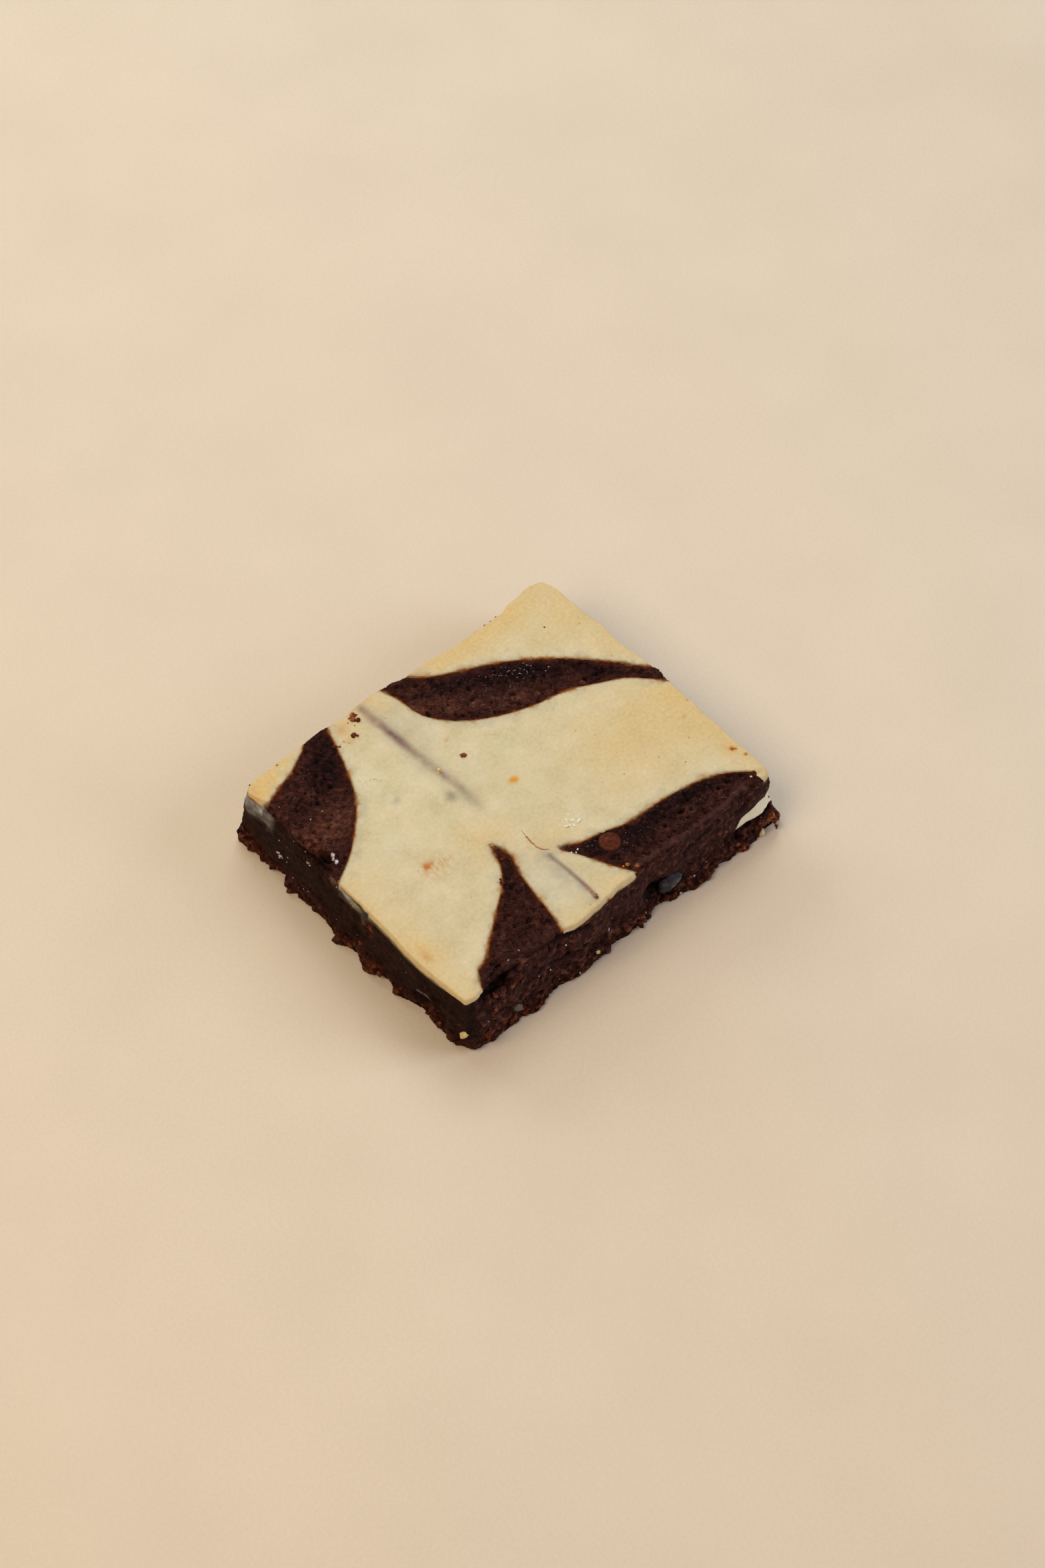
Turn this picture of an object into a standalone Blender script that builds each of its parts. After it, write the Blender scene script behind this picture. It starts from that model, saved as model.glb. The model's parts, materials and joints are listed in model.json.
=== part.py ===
"""Cheesecake brownie: one bar cut with a knife from a tray.

A dark brownie base carries a thin layer of baked cheesecake. Four swirls of brownie batter were
drawn up through the layer before baking, so the dark base reaches the top there. X runs along the
long side, Y along the short side, and the bar stands on Z = 0 under the middle of its box.
Sizes are in millimetres and become metres where a mesh is made.
"""

import math

import bmesh
import bpy
from mathutils import Vector, noise

MM = 0.001

# Driving dimensions of the bar
LENGTH = 80.2
BREADTH = 66.8
HEIGHT = 16.8
GAP = 0.3  # air between the pieces, all round
COLUMN_STEP = 1.8  # spacing of the wall's columns along a side
REACH = 6.0  # how far the cutters run past the bar

# The knife drags the base outwards as it comes down, so each face leans out towards the tray
FLARE = {"front": 1.7, "right": 1.6, "back": 1.5, "left": 1.0}
# Heights of the wall's rings: close at the crumbly rim and at the rounded top edge
RINGS = (0.0, 0.9, 2.1, 3.6, 5.3, 7.2, 9.2, 11.3, 13.3, 15.0, 16.2, HEIGHT)
TOP_EDGE_INSET = 0.45
BOTTOM_EDGE_INSET = 0.5
# The top edge of the left face is worn round where the swirl meets it: (place, inset)
LEFT_EDGE_WEAR = ((2.0, 0.0), (9.0, 0.9), (20.0, 1.7), (28.0, 1.8), (31.5, 0.2))
WEAR_HEIGHT = 2.4
CORNER_INSET = {"near": 0.3, "right": 0.5, "far": 0.6, "left": 0.6}
CORNER_REACH = 3.2  # the inset of a corner fades out over this length

# Where the cut wanders off the straight line: (place along the side, distance outwards)
CUT_LINE = {
    "front": ((-40, 0.0), (-16, -0.2), (-12.5, 0.6), (-8, 0.2), (-3, -0.6), (12, -0.5), (40, -0.5)),
    "right": ((-33, 0.1), (-12, 0.6), (-3, 0.8), (14, 0.5), (33, 0.0)),
    "back": (
        (-38, 0.2), (-19, 1.1), (-11, 0.7), (-6, 1.2), (6, 0.1), (16, -0.6), (27, -0.7), (29, 0.6), (40, 0.7),
    ),
    "left": ((-33, 0.5), (-18, 1.1), (-8, 0.6), (10, 0.3), (31, 0.0)),
}

# Crags and hollows of the crumb: side, place along it, height, half length, half height, outwards
CRAGS = (
    ("left", 33.4, 1.0, 2.4, 2.8, 1.4),
    ("left", 21.3, 0.5, 1.3, 3.0, -1.5),
    ("left", 2.8, 1.5, 2.0, 3.0, 1.3),
    ("left", -6.0, 1.0, 1.7, 2.4, 1.3),
    ("left", -3.2, 8.0, 1.0, 7.0, -0.6),
    ("left", -12.0, 0.5, 0.9, 2.0, -1.1),
    ("left", -23.0, 2.6, 4.2, 4.2, -2.7),
    ("left", -23.5, 8.6, 3.4, 1.0, 0.6),
    ("left", -30.0, 2.5, 1.6, 2.0, 0.4),
    ("left", -33.4, 0.5, 2.0, 3.4, -1.5),
    ("left", 10.6, 15.8, 1.8, 1.4, -0.8),
    ("front", -32.0, 15.0, 2.6, 1.1, -2.6),
    ("front", -40.1, 0.5, 1.2, 3.0, -0.4),
    ("front", -37.0, 6.0, 2.0, 3.0, 0.3),
    ("front", -28.3, 4.7, 1.5, 1.2, 0.4),
    ("front", -24.5, 1.2, 1.6, 1.4, 0.6),
    ("front", -17.5, 0.5, 1.2, 1.6, -0.5),
    ("front", 9.6, 0.5, 3.0, 2.6, -2.0),
    ("front", 8.4, 7.0, 2.6, 2.4, -1.3),
    ("front", 20.3, 0.8, 2.8, 2.4, 1.3),
    ("front", 32.0, 5.8, 4.5, 1.4, -0.9),
    ("front", 37.5, 5.2, 3.0, 1.6, 0.7),
    ("front", 38.5, 1.2, 1.8, 1.2, -0.8),
    ("right", -32.6, 2.4, 1.6, 1.5, 1.5),
    ("right", -31.5, 9.8, 2.0, 1.6, -0.9),
    ("right", -20.0, 1.0, 2.2, 2.2, 0.8),
    ("right", -8.0, 0.6, 1.5, 2.4, -1.0),
    ("right", 6.0, 2.0, 2.6, 2.8, 0.9),
    ("right", 17.0, 5.0, 2.6, 1.8, -0.9),
    ("right", 27.0, 0.8, 1.8, 2.0, 0.8),
    ("back", 32.0, 1.5, 2.2, 2.6, 0.9),
    ("back", 19.0, 0.8, 1.6, 2.4, -0.9),
    ("back", 9.0, 3.0, 2.4, 2.0, 0.8),
    ("back", -4.0, 6.5, 2.6, 1.4, -1.0),
    ("back", -14.0, 1.0, 2.0, 2.4, 0.9),
    ("back", -27.0, 0.8, 1.4, 2.2, -1.0),
)
CRAG_REACH = 2.5  # a crag has faded out at this many half lengths

# Crumb roughness of each face, from its even upper part to the torn rim at the tray
CRUMB = {"front": 0.30, "right": 0.30, "back": 0.30, "left": 0.14}
RIM_CRUMB = 0.55
RIM_HEIGHT = 4.5
CRUMB_GRAIN = 3.6

# The cheesecake: thin at the cut faces, with two pockets where the batter lay deeper
LAYER_THICKNESS = 3.0
LAYER_GRID = 4.6
FRONT_THINNING = 1.5
LEFT_THINNING = 1.0
THINNING_WIDTH = 7.0
LAYER_WAVE = 0.35
LAYER_GRAIN = 9.0
# Pockets: x, y, radius, extra depth
POCKETS = ((-42.0, 32.0, 7.0, 3.2), (-42.0, 0.8, 4.4, 3.4))

# Swirls as ladders of rungs across the stroke: one bank, the other bank, depth below the top
SWIRLS = {
    "far": (
        (-5.4, 38.4, -2.2, 37.8, 6.0),
        (-3.8, 34.2, 1.3, 34.0, 6.0),
        (-2.5, 29.4, 5.4, 30.3, 4.5),
        (-1.7, 23.8, 10.2, 27.7, 2.1),
        (2.6, 18.0, 15.4, 25.2, 2.0),
        (9.3, 13.6, 20.4, 22.4, 2.0),
        (17.0, 10.7, 25.4, 18.8, 2.0),
        (23.8, 9.3, 29.8, 14.8, 2.1),
        (30.2, 6.2, 33.6, 10.9, 2.4),
        (34.6, 3.9, 37.0, 7.0, 4.5),
        (38.2, 0.5, 39.8, 3.2, 6.0),
        (42.6, -5.2, 44.0, 0.0, 6.0),
    ),
    "left": (
        (-21.5, 38.6, -16.0, 38.8, 6.0),
        (-23.9, 33.8, -17.8, 34.0, 6.0),
        (-26.8, 32.0, -19.2, 30.0, 3.6),
        (-30.1, 30.2, -20.5, 26.2, 2.2),
        (-33.4, 29.2, -22.3, 21.8, 2.2),
        (-37.4, 27.7, -24.7, 17.0, 3.6),
        (-42.0, 25.4, -28.5, 12.6, 7.0),
        (-46.0, 20.0, -33.4, 8.1, 7.0),
        (-48.0, 12.0, -38.2, 5.0, 7.0),
        (-49.0, 5.0, -46.0, 0.8, 7.0),
    ),
    "near": (
        (-12.9, -7.5, -12.5, -7.6, 1.4),
        (-13.3, -10.6, -11.6, -10.9, 2.4),
        (-14.2, -13.6, -11.3, -13.7, 4.0),
        (-17.0, -17.5, -12.8, -17.7, 6.0),
        (-21.8, -21.2, -13.8, -22.5, 7.0),
        (-27.0, -25.2, -14.4, -27.0, 7.0),
        (-30.9, -28.2, -15.1, -30.6, 7.0),
        (-33.6, -29.2, -15.9, -33.2, 7.0),
        (-36.2, -33.6, -17.0, -37.0, 7.0),
        (-38.0, -39.0, -18.5, -41.0, 7.0),
    ),
    "right": (
        (-4.1, -17.3, -4.2, -17.7, 1.4),
        (-2.2, -18.5, -3.0, -19.4, 2.4),
        (0.4, -20.1, -1.4, -22.0, 4.0),
        (3.6, -20.8, 0.0, -24.8, 6.0),
        (7.1, -21.7, 1.5, -28.0, 7.0),
        (10.4, -22.8, 3.2, -31.0, 7.0),
        (15.5, -23.1, 6.0, -35.0, 7.0),
        (21.3, -23.5, 12.0, -39.0, 7.0),
        (28.2, -24.8, 24.0, -40.0, 7.0),
        (33.0, -26.7, 32.0, -40.0, 6.0),
        (36.6, -29.4, 37.0, -40.0, 4.4),
        (39.0, -31.4, 39.6, -40.0, 3.4),
    ),
}
RUNG_STEP = 2.0  # spacing of the rungs after smoothing
SWIRL_SINK = 0.2  # the swirls baked a little lower than the cheesecake
LEAST_WIDTH = 0.5  # a stroke ends where it is narrower than this
BANK_SPREAD = 0.12  # the strokes widen downwards by this share of their depth

# The tongue of cheesecake folded under the right-hand swirl: y, then x and z of its thin edge,
# z under its thick end, and its thickness there
TONGUE = (
    (-39.0, 30.0, 8.3, 8.0, 3.7),
    (-33.0, 30.0, 8.5, 8.5, 3.6),
    (-29.0, 30.6, 9.6, 9.8, 3.3),
    (-25.0, 31.2, 11.3, 11.5, 3.0),
    (-21.0, 31.6, 13.0, 13.1, 2.8),
    (-17.0, 32.0, 14.3, 14.3, 1.6),
)
TONGUE_SLICES = 8

# Chocolate chips: the melted one lies flush in the right-hand swirl, the other in the front face
MELTED_CHIP = {"x": 5.3, "y": -23.7, "radius": 2.2, "depth": 1.9}
SIDE_CHIP = {"x": 12.8, "y": -33.2, "z": 6.2, "half": (2.9, 1.7, 2.5), "turn": -0.35}
CHIP_SIDES = 20


def bar_object(name, points, faces):
    """Makes a mesh object from points in millimetres and faces that list them."""
    mesh = bpy.data.meshes.new(name)
    mesh.from_pydata([Vector(point) * MM for point in points], [], faces)
    mesh.update()
    made = bpy.data.objects.new(name, mesh)
    bpy.context.collection.objects.link(made)
    return made


def boolean(target, cutter, operation, solver="EXACT"):
    """Joins or cuts the target with a cutter, which is used up."""
    modifier = target.modifiers.new("cut", "BOOLEAN")
    modifier.operation = operation
    modifier.solver = solver
    modifier.object = cutter
    bpy.context.view_layer.objects.active = target
    bpy.ops.object.modifier_apply(modifier=modifier.name)
    bpy.data.objects.remove(cutter)


def between(knots, place):
    """Reads a value off a line of (place, value) knots, eased from one knot to the next."""
    if place <= knots[0][0]:
        return knots[0][1]
    for (start, low), (end, high) in zip(knots, knots[1:]):
        if place <= end:
            share = (place - start) / (end - start)
            return low + (high - low) * share * share * (3 - 2 * share)
    return knots[-1][1]


def crumb(point, grain):
    """Unevenness of baked crumb at a point, from about -1 to 1."""
    return 1.6 * noise.fractal(Vector(point) / grain, 1.0, 2.0, 2)


def face_offset(side, along, z, point):
    """How far a face stands out from its straight plane."""
    out = between(CUT_LINE[side], along) + FLARE[side] * (1 - z / HEIGHT)
    for crag_side, place, height, half_length, half_height, outwards in CRAGS:
        if crag_side != side or abs(along - place) > CRAG_REACH * half_length:
            continue
        spread = ((along - place) / half_length) ** 2 + ((z - height) / half_height) ** 2
        out += outwards * math.exp(-spread)
    if side == "left":
        out -= between(LEFT_EDGE_WEAR, along) * max(0.0, 1 - (HEIGHT - z) / WEAR_HEIGHT) ** 1.5
    rim = max(0.0, 1 - z / RIM_HEIGHT)
    roughness = CRUMB[side] + (RIM_CRUMB - CRUMB[side]) * rim
    return out + roughness * crumb(point, CRUMB_GRAIN)


def wall_columns():
    """Columns round the bar, anticlockwise: plan point, faces it belongs to, and corner inset."""
    half_x, half_y = LENGTH / 2, BREADTH / 2
    sides = (
        ("front", "near", (-half_x, -half_y), (1, 0), (0, -1), LENGTH),
        ("right", "right", (half_x, -half_y), (0, 1), (1, 0), BREADTH),
        ("back", "far", (half_x, half_y), (-1, 0), (0, 1), LENGTH),
        ("left", "left", (-half_x, half_y), (0, -1), (-1, 0), BREADTH),
    )
    columns = []
    for number, (side, corner, start, run, normal, length) in enumerate(sides):
        before_side, before_normal = sides[number - 1][0], sides[number - 1][4]
        next_corner = sides[(number + 1) % len(sides)][1]
        columns.append((start, ((before_side, before_normal), (side, normal)), CORNER_INSET[corner]))
        count = round(length / COLUMN_STEP)
        for step in range(1, count):
            distance = length * step / count
            plan = (start[0] + run[0] * distance, start[1] + run[1] * distance)
            inset = CORNER_INSET[corner] * max(0.0, 1 - distance / CORNER_REACH) ** 2
            inset += CORNER_INSET[next_corner] * max(0.0, 1 - (length - distance) / CORNER_REACH) ** 2
            columns.append((plan, ((side, normal),), inset))
    return columns


def whole_bar():
    """The bar before the cheesecake's room is cut from it."""
    columns = wall_columns()
    points = []
    for z in RINGS:
        inset = {0.0: BOTTOM_EDGE_INSET, HEIGHT: TOP_EDGE_INSET}.get(z, 0.0)
        for (x, y), faces, corner_inset in columns:
            point = Vector((x, y, z))
            for side, normal in faces:
                along = x if side in ("front", "back") else y
                out = face_offset(side, along, z, (x, y, z)) - inset - corner_inset
                point += Vector((normal[0], normal[1], 0)) * out
            points.append(point)
    count = len(columns)
    faces = []
    for ring in range(len(RINGS) - 1):
        for column in range(count):
            after = (column + 1) % count
            low, high = ring * count, (ring + 1) * count
            faces.append((low + column, low + after, high + after, high + column))
    faces.append(tuple(reversed(range(count))))
    faces.append(tuple(range((len(RINGS) - 1) * count, len(RINGS) * count)))
    return bar_object("brownie", points, faces)


def layer_floor(x, y):
    """Height of the cheesecake's underside."""
    thickness = LAYER_THICKNESS + LAYER_WAVE * crumb((x, y, 0), LAYER_GRAIN)
    thickness -= FRONT_THINNING * max(0.0, 1 - (y + BREADTH / 2) / THINNING_WIDTH)
    thickness -= LEFT_THINNING * max(0.0, 1 - (x + LENGTH / 2) / THINNING_WIDTH)
    for pocket_x, pocket_y, radius, extra in POCKETS:
        distance = math.hypot(x - pocket_x, y - pocket_y)
        thickness += extra * math.exp(-((distance / radius) ** 2))
    return HEIGHT - max(thickness, 0.8)


def layer_slab(name, lift):
    """A slab over the whole bar, with the cheesecake's uneven underside."""
    steps_x = round((LENGTH + 2 * REACH) / LAYER_GRID)
    steps_y = round((BREADTH + 2 * REACH) / LAYER_GRID)
    points = []
    for row in range(steps_y + 1):
        for column in range(steps_x + 1):
            x = -LENGTH / 2 - REACH + column * LAYER_GRID
            y = -BREADTH / 2 - REACH + row * LAYER_GRID
            points.append((x, y, layer_floor(x, y) + lift))
    width = steps_x + 1
    faces = []
    for row in range(steps_y):
        for column in range(steps_x):
            corner = row * width + column
            faces.append((corner, corner + width, corner + width + 1, corner + 1))
    slab = bar_object(name, points, faces)
    shell = bmesh.new()
    shell.from_mesh(slab.data)
    grown = bmesh.ops.extrude_face_region(shell, geom=shell.faces[:])
    for vertex in (item for item in grown["geom"] if isinstance(item, bmesh.types.BMVert)):
        vertex.co.z = (HEIGHT + REACH) * MM
    bmesh.ops.recalc_face_normals(shell, faces=shell.faces)
    shell.to_mesh(slab.data)
    shell.free()
    return slab


def smooth_rungs(rungs):
    """Rungs at even steps along a stroke, on a curve through the given ones."""
    ends = [rungs[0]] + list(rungs) + [rungs[-1]]
    smooth = []
    for before, start, end, after in zip(ends, ends[1:], ends[2:], ends[3:]):
        length = math.dist(start[:2], end[:2]) + math.dist(start[2:4], end[2:4])
        count = max(1, round(length / 2 / RUNG_STEP))
        for step in range(count):
            t = step / count
            smooth.append(tuple(
                b + 0.5 * t * (c - a + t * (2 * a - 5 * b + 4 * c - d + t * (3 * (b - c) + d - a)))
                for a, b, c, d in zip(before, start, end, after)
            ))
    smooth.append(rungs[-1])
    return smooth


def swirl_cutter(name, rungs, swell):
    """The stroke of a swirl as a closed solid, swollen or shrunk all round."""
    points = []
    for x_a, y_a, x_b, y_b, depth in smooth_rungs(rungs):
        across = Vector((x_b - x_a, y_b - y_a, 0))
        width = across.length + 2 * swell
        if width < LEAST_WIDTH:
            continue
        middle = Vector(((x_a + x_b) / 2, (y_a + y_b) / 2, 0))
        across.normalize()
        bottom = HEIGHT - depth - swell
        for z in (bottom, HEIGHT + REACH / 2):
            half = width / 2 + BANK_SPREAD * (HEIGHT - z)
            points.append(middle - across * half + Vector((0, 0, z)))
            points.append(middle + across * half + Vector((0, 0, z)))
    faces = [(0, 1, 3, 2)]
    count = len(points) // 4
    for rung in range(count - 1):
        low = rung * 4
        for a, b in ((0, 1), (1, 3), (3, 2), (2, 0)):
            faces.append((low + b, low + a, low + 4 + a, low + 4 + b))
    last = (count - 1) * 4
    faces.append((last + 2, last + 3, last + 1, last))
    cutter = bar_object(name, points, faces)
    shell = bmesh.new()
    shell.from_mesh(cutter.data)
    bmesh.ops.triangulate(shell, faces=shell.faces)
    bmesh.ops.recalc_face_normals(shell, faces=shell.faces)
    shell.to_mesh(cutter.data)
    shell.free()
    return cutter


def tongue(name, swell):
    """The folded tongue of cheesecake as a closed solid, swollen or shrunk all round."""
    points = []
    outer_x = LENGTH / 2 + REACH
    for y, edge_x, edge_z, end_z, thickness in TONGUE:
        slices = [step / TONGUE_SLICES for step in range(1, TONGUE_SLICES + 1)]
        ring = [(edge_x - swell, y, edge_z)]
        for side in (-1, 1):
            for share in slices if side < 0 else reversed(slices):
                x = edge_x + (outer_x - edge_x) * share
                growth = 1 - (1 - min(1.0, 2 * share)) ** 2
                middle = edge_z + (end_z + thickness / 2 - edge_z) * growth
                half = thickness / 2 * math.sqrt(growth) + swell
                ring.append((x, y, middle + side * half))
        points.extend(ring)
    size = 2 * TONGUE_SLICES + 1
    faces = [tuple(range(size))]
    for station in range(len(TONGUE) - 1):
        low, high = station * size, (station + 1) * size
        for corner in range(size):
            after = (corner + 1) % size
            faces.append((low + corner, high + corner, high + after, low + after))
    faces.append(tuple(reversed(range((len(TONGUE) - 1) * size, len(TONGUE) * size))))
    made = bar_object(name, points, faces)
    shell = bmesh.new()
    shell.from_mesh(made.data)
    bmesh.ops.triangulate(shell, faces=shell.faces)
    bmesh.ops.recalc_face_normals(shell, faces=shell.faces)
    shell.to_mesh(made.data)
    shell.free()
    return made


def keep_main_body(piece):
    """Drops the loose scraps that the cuts leave."""
    shell = bmesh.new()
    shell.from_mesh(piece.data)
    islands = []
    waiting = set(shell.faces)
    while waiting:
        island = set()
        border = [waiting.pop()]
        while border:
            face = border.pop()
            island.add(face)
            for edge in face.edges:
                for other in edge.link_faces:
                    if other in waiting:
                        waiting.remove(other)
                        border.append(other)
        islands.append(island)
    islands.sort(key=len)
    for island in islands[:-1]:
        bmesh.ops.delete(shell, geom=list(island), context="FACES")
    bmesh.ops.triangulate(shell, faces=shell.faces)
    shell.to_mesh(piece.data)
    shell.free()


def melted_chip(name, swell):
    """The melted chip: a button that narrows downwards, its top level with the swirl."""
    top = HEIGHT - SWIRL_SINK
    levels = (
        (top + (REACH if swell else 0.0), MELTED_CHIP["radius"] + swell),
        (top - MELTED_CHIP["depth"] / 2, MELTED_CHIP["radius"] * 0.92 + swell),
        (top - MELTED_CHIP["depth"] - swell, MELTED_CHIP["radius"] * 0.45 + swell),
    )
    points = []
    for z, radius in levels:
        for step in range(CHIP_SIDES):
            turn = 2 * math.pi * step / CHIP_SIDES
            x = MELTED_CHIP["x"] + radius * math.cos(turn)
            y = MELTED_CHIP["y"] + radius * math.sin(turn)
            points.append((x, y, z))
    faces = [tuple(range(CHIP_SIDES))]
    for level in (0, 1):
        high, low = level * CHIP_SIDES, (level + 1) * CHIP_SIDES
        for step in range(CHIP_SIDES):
            after = (step + 1) % CHIP_SIDES
            faces.append((low + step, low + after, high + after, high + step))
    faces.append(tuple(reversed(range(2 * CHIP_SIDES, 3 * CHIP_SIDES))))
    return bar_object(name, points, faces)


def side_chip(name, swell):
    """The chip cut through by the knife: a flattened drop lying in the front face."""
    half_x, half_y, half_z = (half + swell for half in SIDE_CHIP["half"])
    shell = bmesh.new()
    bmesh.ops.create_icosphere(shell, subdivisions=2, radius=1.0)
    turn = SIDE_CHIP["turn"]
    for vertex in shell.verts:
        x, y, z = vertex.co.x * half_x, vertex.co.y * half_y, vertex.co.z * half_z
        across = x * math.cos(turn) - z * math.sin(turn)
        up = x * math.sin(turn) + z * math.cos(turn)
        vertex.co = Vector((SIDE_CHIP["x"] + across, SIDE_CHIP["y"] + y, SIDE_CHIP["z"] + up)) * MM
    mesh = bpy.data.meshes.new(name)
    shell.to_mesh(mesh)
    shell.free()
    made = bpy.data.objects.new(name, mesh)
    bpy.context.collection.objects.link(made)
    return made


def finish(piece, colour, roughness):
    """Gives a piece its own plain material."""
    material = bpy.data.materials.new(piece.name)
    material.use_nodes = True
    shader = material.node_tree.nodes["Principled BSDF"]
    shader.inputs["Base Color"].default_value = (*colour, 1.0)
    shader.inputs["Roughness"].default_value = roughness
    piece.data.materials.clear()
    piece.data.materials.append(material)


def cheesecake_body(name, swell):
    """The cheesecake before the bar's walls trim it: the slab less the swirls, plus the tongue."""
    body = layer_slab(name, -swell)
    for swirl, rungs in SWIRLS.items():
        boolean(body, swirl_cutter(swirl + "_stroke", rungs, -swell), "DIFFERENCE")
    boolean(body, tongue(name + "_tongue", swell), "UNION")
    return body


def build_brownie():
    """The dark base, with the swirls that rise through the cheesecake."""
    brownie = whole_bar()
    boolean(brownie, cheesecake_body("cheesecake_room", GAP / 2), "DIFFERENCE", "MANIFOLD")
    for vertex in brownie.data.vertices:
        if vertex.co.z > (HEIGHT - SWIRL_SINK / 2) * MM:
            vertex.co.z -= SWIRL_SINK * MM
    boolean(brownie, melted_chip("melted_room", GAP), "DIFFERENCE", "MANIFOLD")
    boolean(brownie, side_chip("side_room", GAP), "DIFFERENCE", "MANIFOLD")
    keep_main_body(brownie)
    finish(brownie, (0.030, 0.012, 0.008), 0.7)


def build_cheesecake():
    """The baked cheesecake layer, which runs through the bar."""
    layer = whole_bar()
    layer.name = "cheesecake_layer"
    boolean(layer, cheesecake_body("cheesecake_form", -GAP / 2), "INTERSECT", "MANIFOLD")
    keep_main_body(layer)
    finish(layer, (0.66, 0.52, 0.26), 0.5)


def build_chips():
    """The two chocolate chips that show."""
    finish(melted_chip("melted_chip", 0.0), (0.10, 0.035, 0.018), 0.4)
    finish(side_chip("side_chip", 0.0), (0.07, 0.05, 0.045), 0.5)


def centre_pieces():
    """Moves the uneven bar sideways until the middle of its box stands on the origin."""
    pieces = list(bpy.data.objects)
    points = [vertex.co for piece in pieces for vertex in piece.data.vertices]
    middle = Vector((0.0, 0.0, 0.0))
    for axis in (0, 1):
        places = [point[axis] for point in points]
        middle[axis] = (min(places) + max(places)) / 2
    for piece in pieces:
        for vertex in piece.data.vertices:
            vertex.co -= middle


def main():
    for old in list(bpy.data.objects):
        bpy.data.objects.remove(old)
    build_brownie()
    build_cheesecake()
    build_chips()
    centre_pieces()


main()
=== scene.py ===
import json
import math

import bpy
import numpy as np
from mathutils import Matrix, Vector, noise
from mathutils.bvhtree import BVHTree
from mathutils.kdtree import KDTree

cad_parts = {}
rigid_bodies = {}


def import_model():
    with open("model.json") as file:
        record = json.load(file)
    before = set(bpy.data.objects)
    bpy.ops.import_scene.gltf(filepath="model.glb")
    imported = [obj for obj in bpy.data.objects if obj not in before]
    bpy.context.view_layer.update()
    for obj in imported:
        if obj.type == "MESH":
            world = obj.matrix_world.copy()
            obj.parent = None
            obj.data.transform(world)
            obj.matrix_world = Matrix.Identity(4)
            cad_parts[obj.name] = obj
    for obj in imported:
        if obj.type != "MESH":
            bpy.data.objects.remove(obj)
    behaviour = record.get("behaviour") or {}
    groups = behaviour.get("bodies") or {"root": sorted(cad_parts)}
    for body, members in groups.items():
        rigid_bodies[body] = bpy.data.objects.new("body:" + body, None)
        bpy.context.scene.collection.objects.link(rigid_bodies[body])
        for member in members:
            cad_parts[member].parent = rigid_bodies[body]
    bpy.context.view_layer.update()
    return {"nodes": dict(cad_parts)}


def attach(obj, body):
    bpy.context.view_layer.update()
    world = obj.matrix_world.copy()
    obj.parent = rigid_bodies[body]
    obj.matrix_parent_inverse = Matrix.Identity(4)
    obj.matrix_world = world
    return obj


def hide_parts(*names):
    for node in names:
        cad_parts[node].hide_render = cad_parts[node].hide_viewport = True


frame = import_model()

# The camera looks down on the near corner, as the photograph does, from most of a metre away.
# Places in this script are millimetres from the middle of the top's own rectangle, which lies a
# little off the middle of the bar's box, because the torn foot sticks out unevenly.
mm = 0.001
top_middle = Vector((-0.174, -0.490, 0.0))
turn, tilt = math.radians(-41.9), math.radians(53.5)
away = Vector((math.sin(turn) * math.cos(tilt), -math.cos(turn) * math.cos(tilt), math.sin(tilt)))
aim = (Vector((10.08, 6.96, 0.0)) + top_middle) * mm
bpy.ops.object.camera_add(location=aim + away * 746.4 * mm)
camera = bpy.context.active_object
camera.rotation_euler = away.to_track_quat("Z", "Y").to_euler()
camera.data.lens = 85
camera.data.sensor_width = 36
camera.data.clip_start = 0.01
bpy.context.scene.camera = camera


# The bar's skin: the bar was cut as one, so the knife's marks run on from brownie to cheesecake. The
# blade smeared the left face smooth and tore the other three, and the foot broke into crags where the
# bar came off the tray. The skin is shaped whole here, and then parted into the two layers.
def merged_copy(node, name):
    """A copy of a solid, with its loose triangles joined into one closed mesh."""
    piece = bpy.data.objects.new(name, frame["nodes"][node].data.copy())
    bpy.context.scene.collection.objects.link(piece)
    bpy.ops.object.select_all(action="DESELECT")
    piece.select_set(True)
    bpy.context.view_layer.objects.active = piece
    bpy.ops.object.mode_set(mode="EDIT")
    bpy.ops.mesh.select_all(action="SELECT")
    bpy.ops.mesh.remove_doubles(threshold=0.001 * mm)
    bpy.ops.object.mode_set(mode="OBJECT")
    piece.data.materials.clear()
    return piece


def apply_modifier(piece, kind, **settings):
    """Adds a modifier to a piece and applies it."""
    modifier = piece.modifiers.new(kind, kind)
    for name, value in settings.items():
        setattr(modifier, name, value)
    bpy.context.view_layer.objects.active = piece
    bpy.ops.object.modifier_apply(modifier=modifier.name)


def skin_places(piece):
    """Places of a skin's points in millimetres, and its outward directions there."""
    count = len(piece.data.vertices)
    places, normals = np.empty(count * 3), np.empty(count * 3)
    piece.data.vertices.foreach_get("co", places)
    piece.data.vertices.foreach_get("normal", normals)
    return places.reshape(-1, 3) / mm - np.array(top_middle), normals.reshape(-1, 3)


def move_skin(piece, places):
    """Puts a skin's points at new places."""
    piece.data.vertices.foreach_set("co", ((places + np.array(top_middle)) * mm).ravel())
    piece.data.update()


def paint(piece, name, values):
    """Keeps one number for each point of a skin, for its material to read."""
    layer = piece.data.attributes.new(name, "FLOAT", "POINT")
    layer.data.foreach_set("value", values.astype(np.float32))


def grain(places, size, depth=1):
    """Soft unevenness at each place, from about -1 to 1. A size may be stretched along one way."""
    return np.array([noise.fractal(place, 1.0, 2.0, depth) for place in (places / size).tolist()])


def clumps(places, size):
    """How far each place is from the middle of the nearest crumb, in crumb sizes. Crumbs are uneven."""
    plain = [Vector(place) for place in (places / size).tolist()]
    bent = [place + 0.4 * noise.noise_vector(place * 1.6) for place in plain]
    return np.array([noise.voronoi(place)[0][0] for place in bent])


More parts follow.
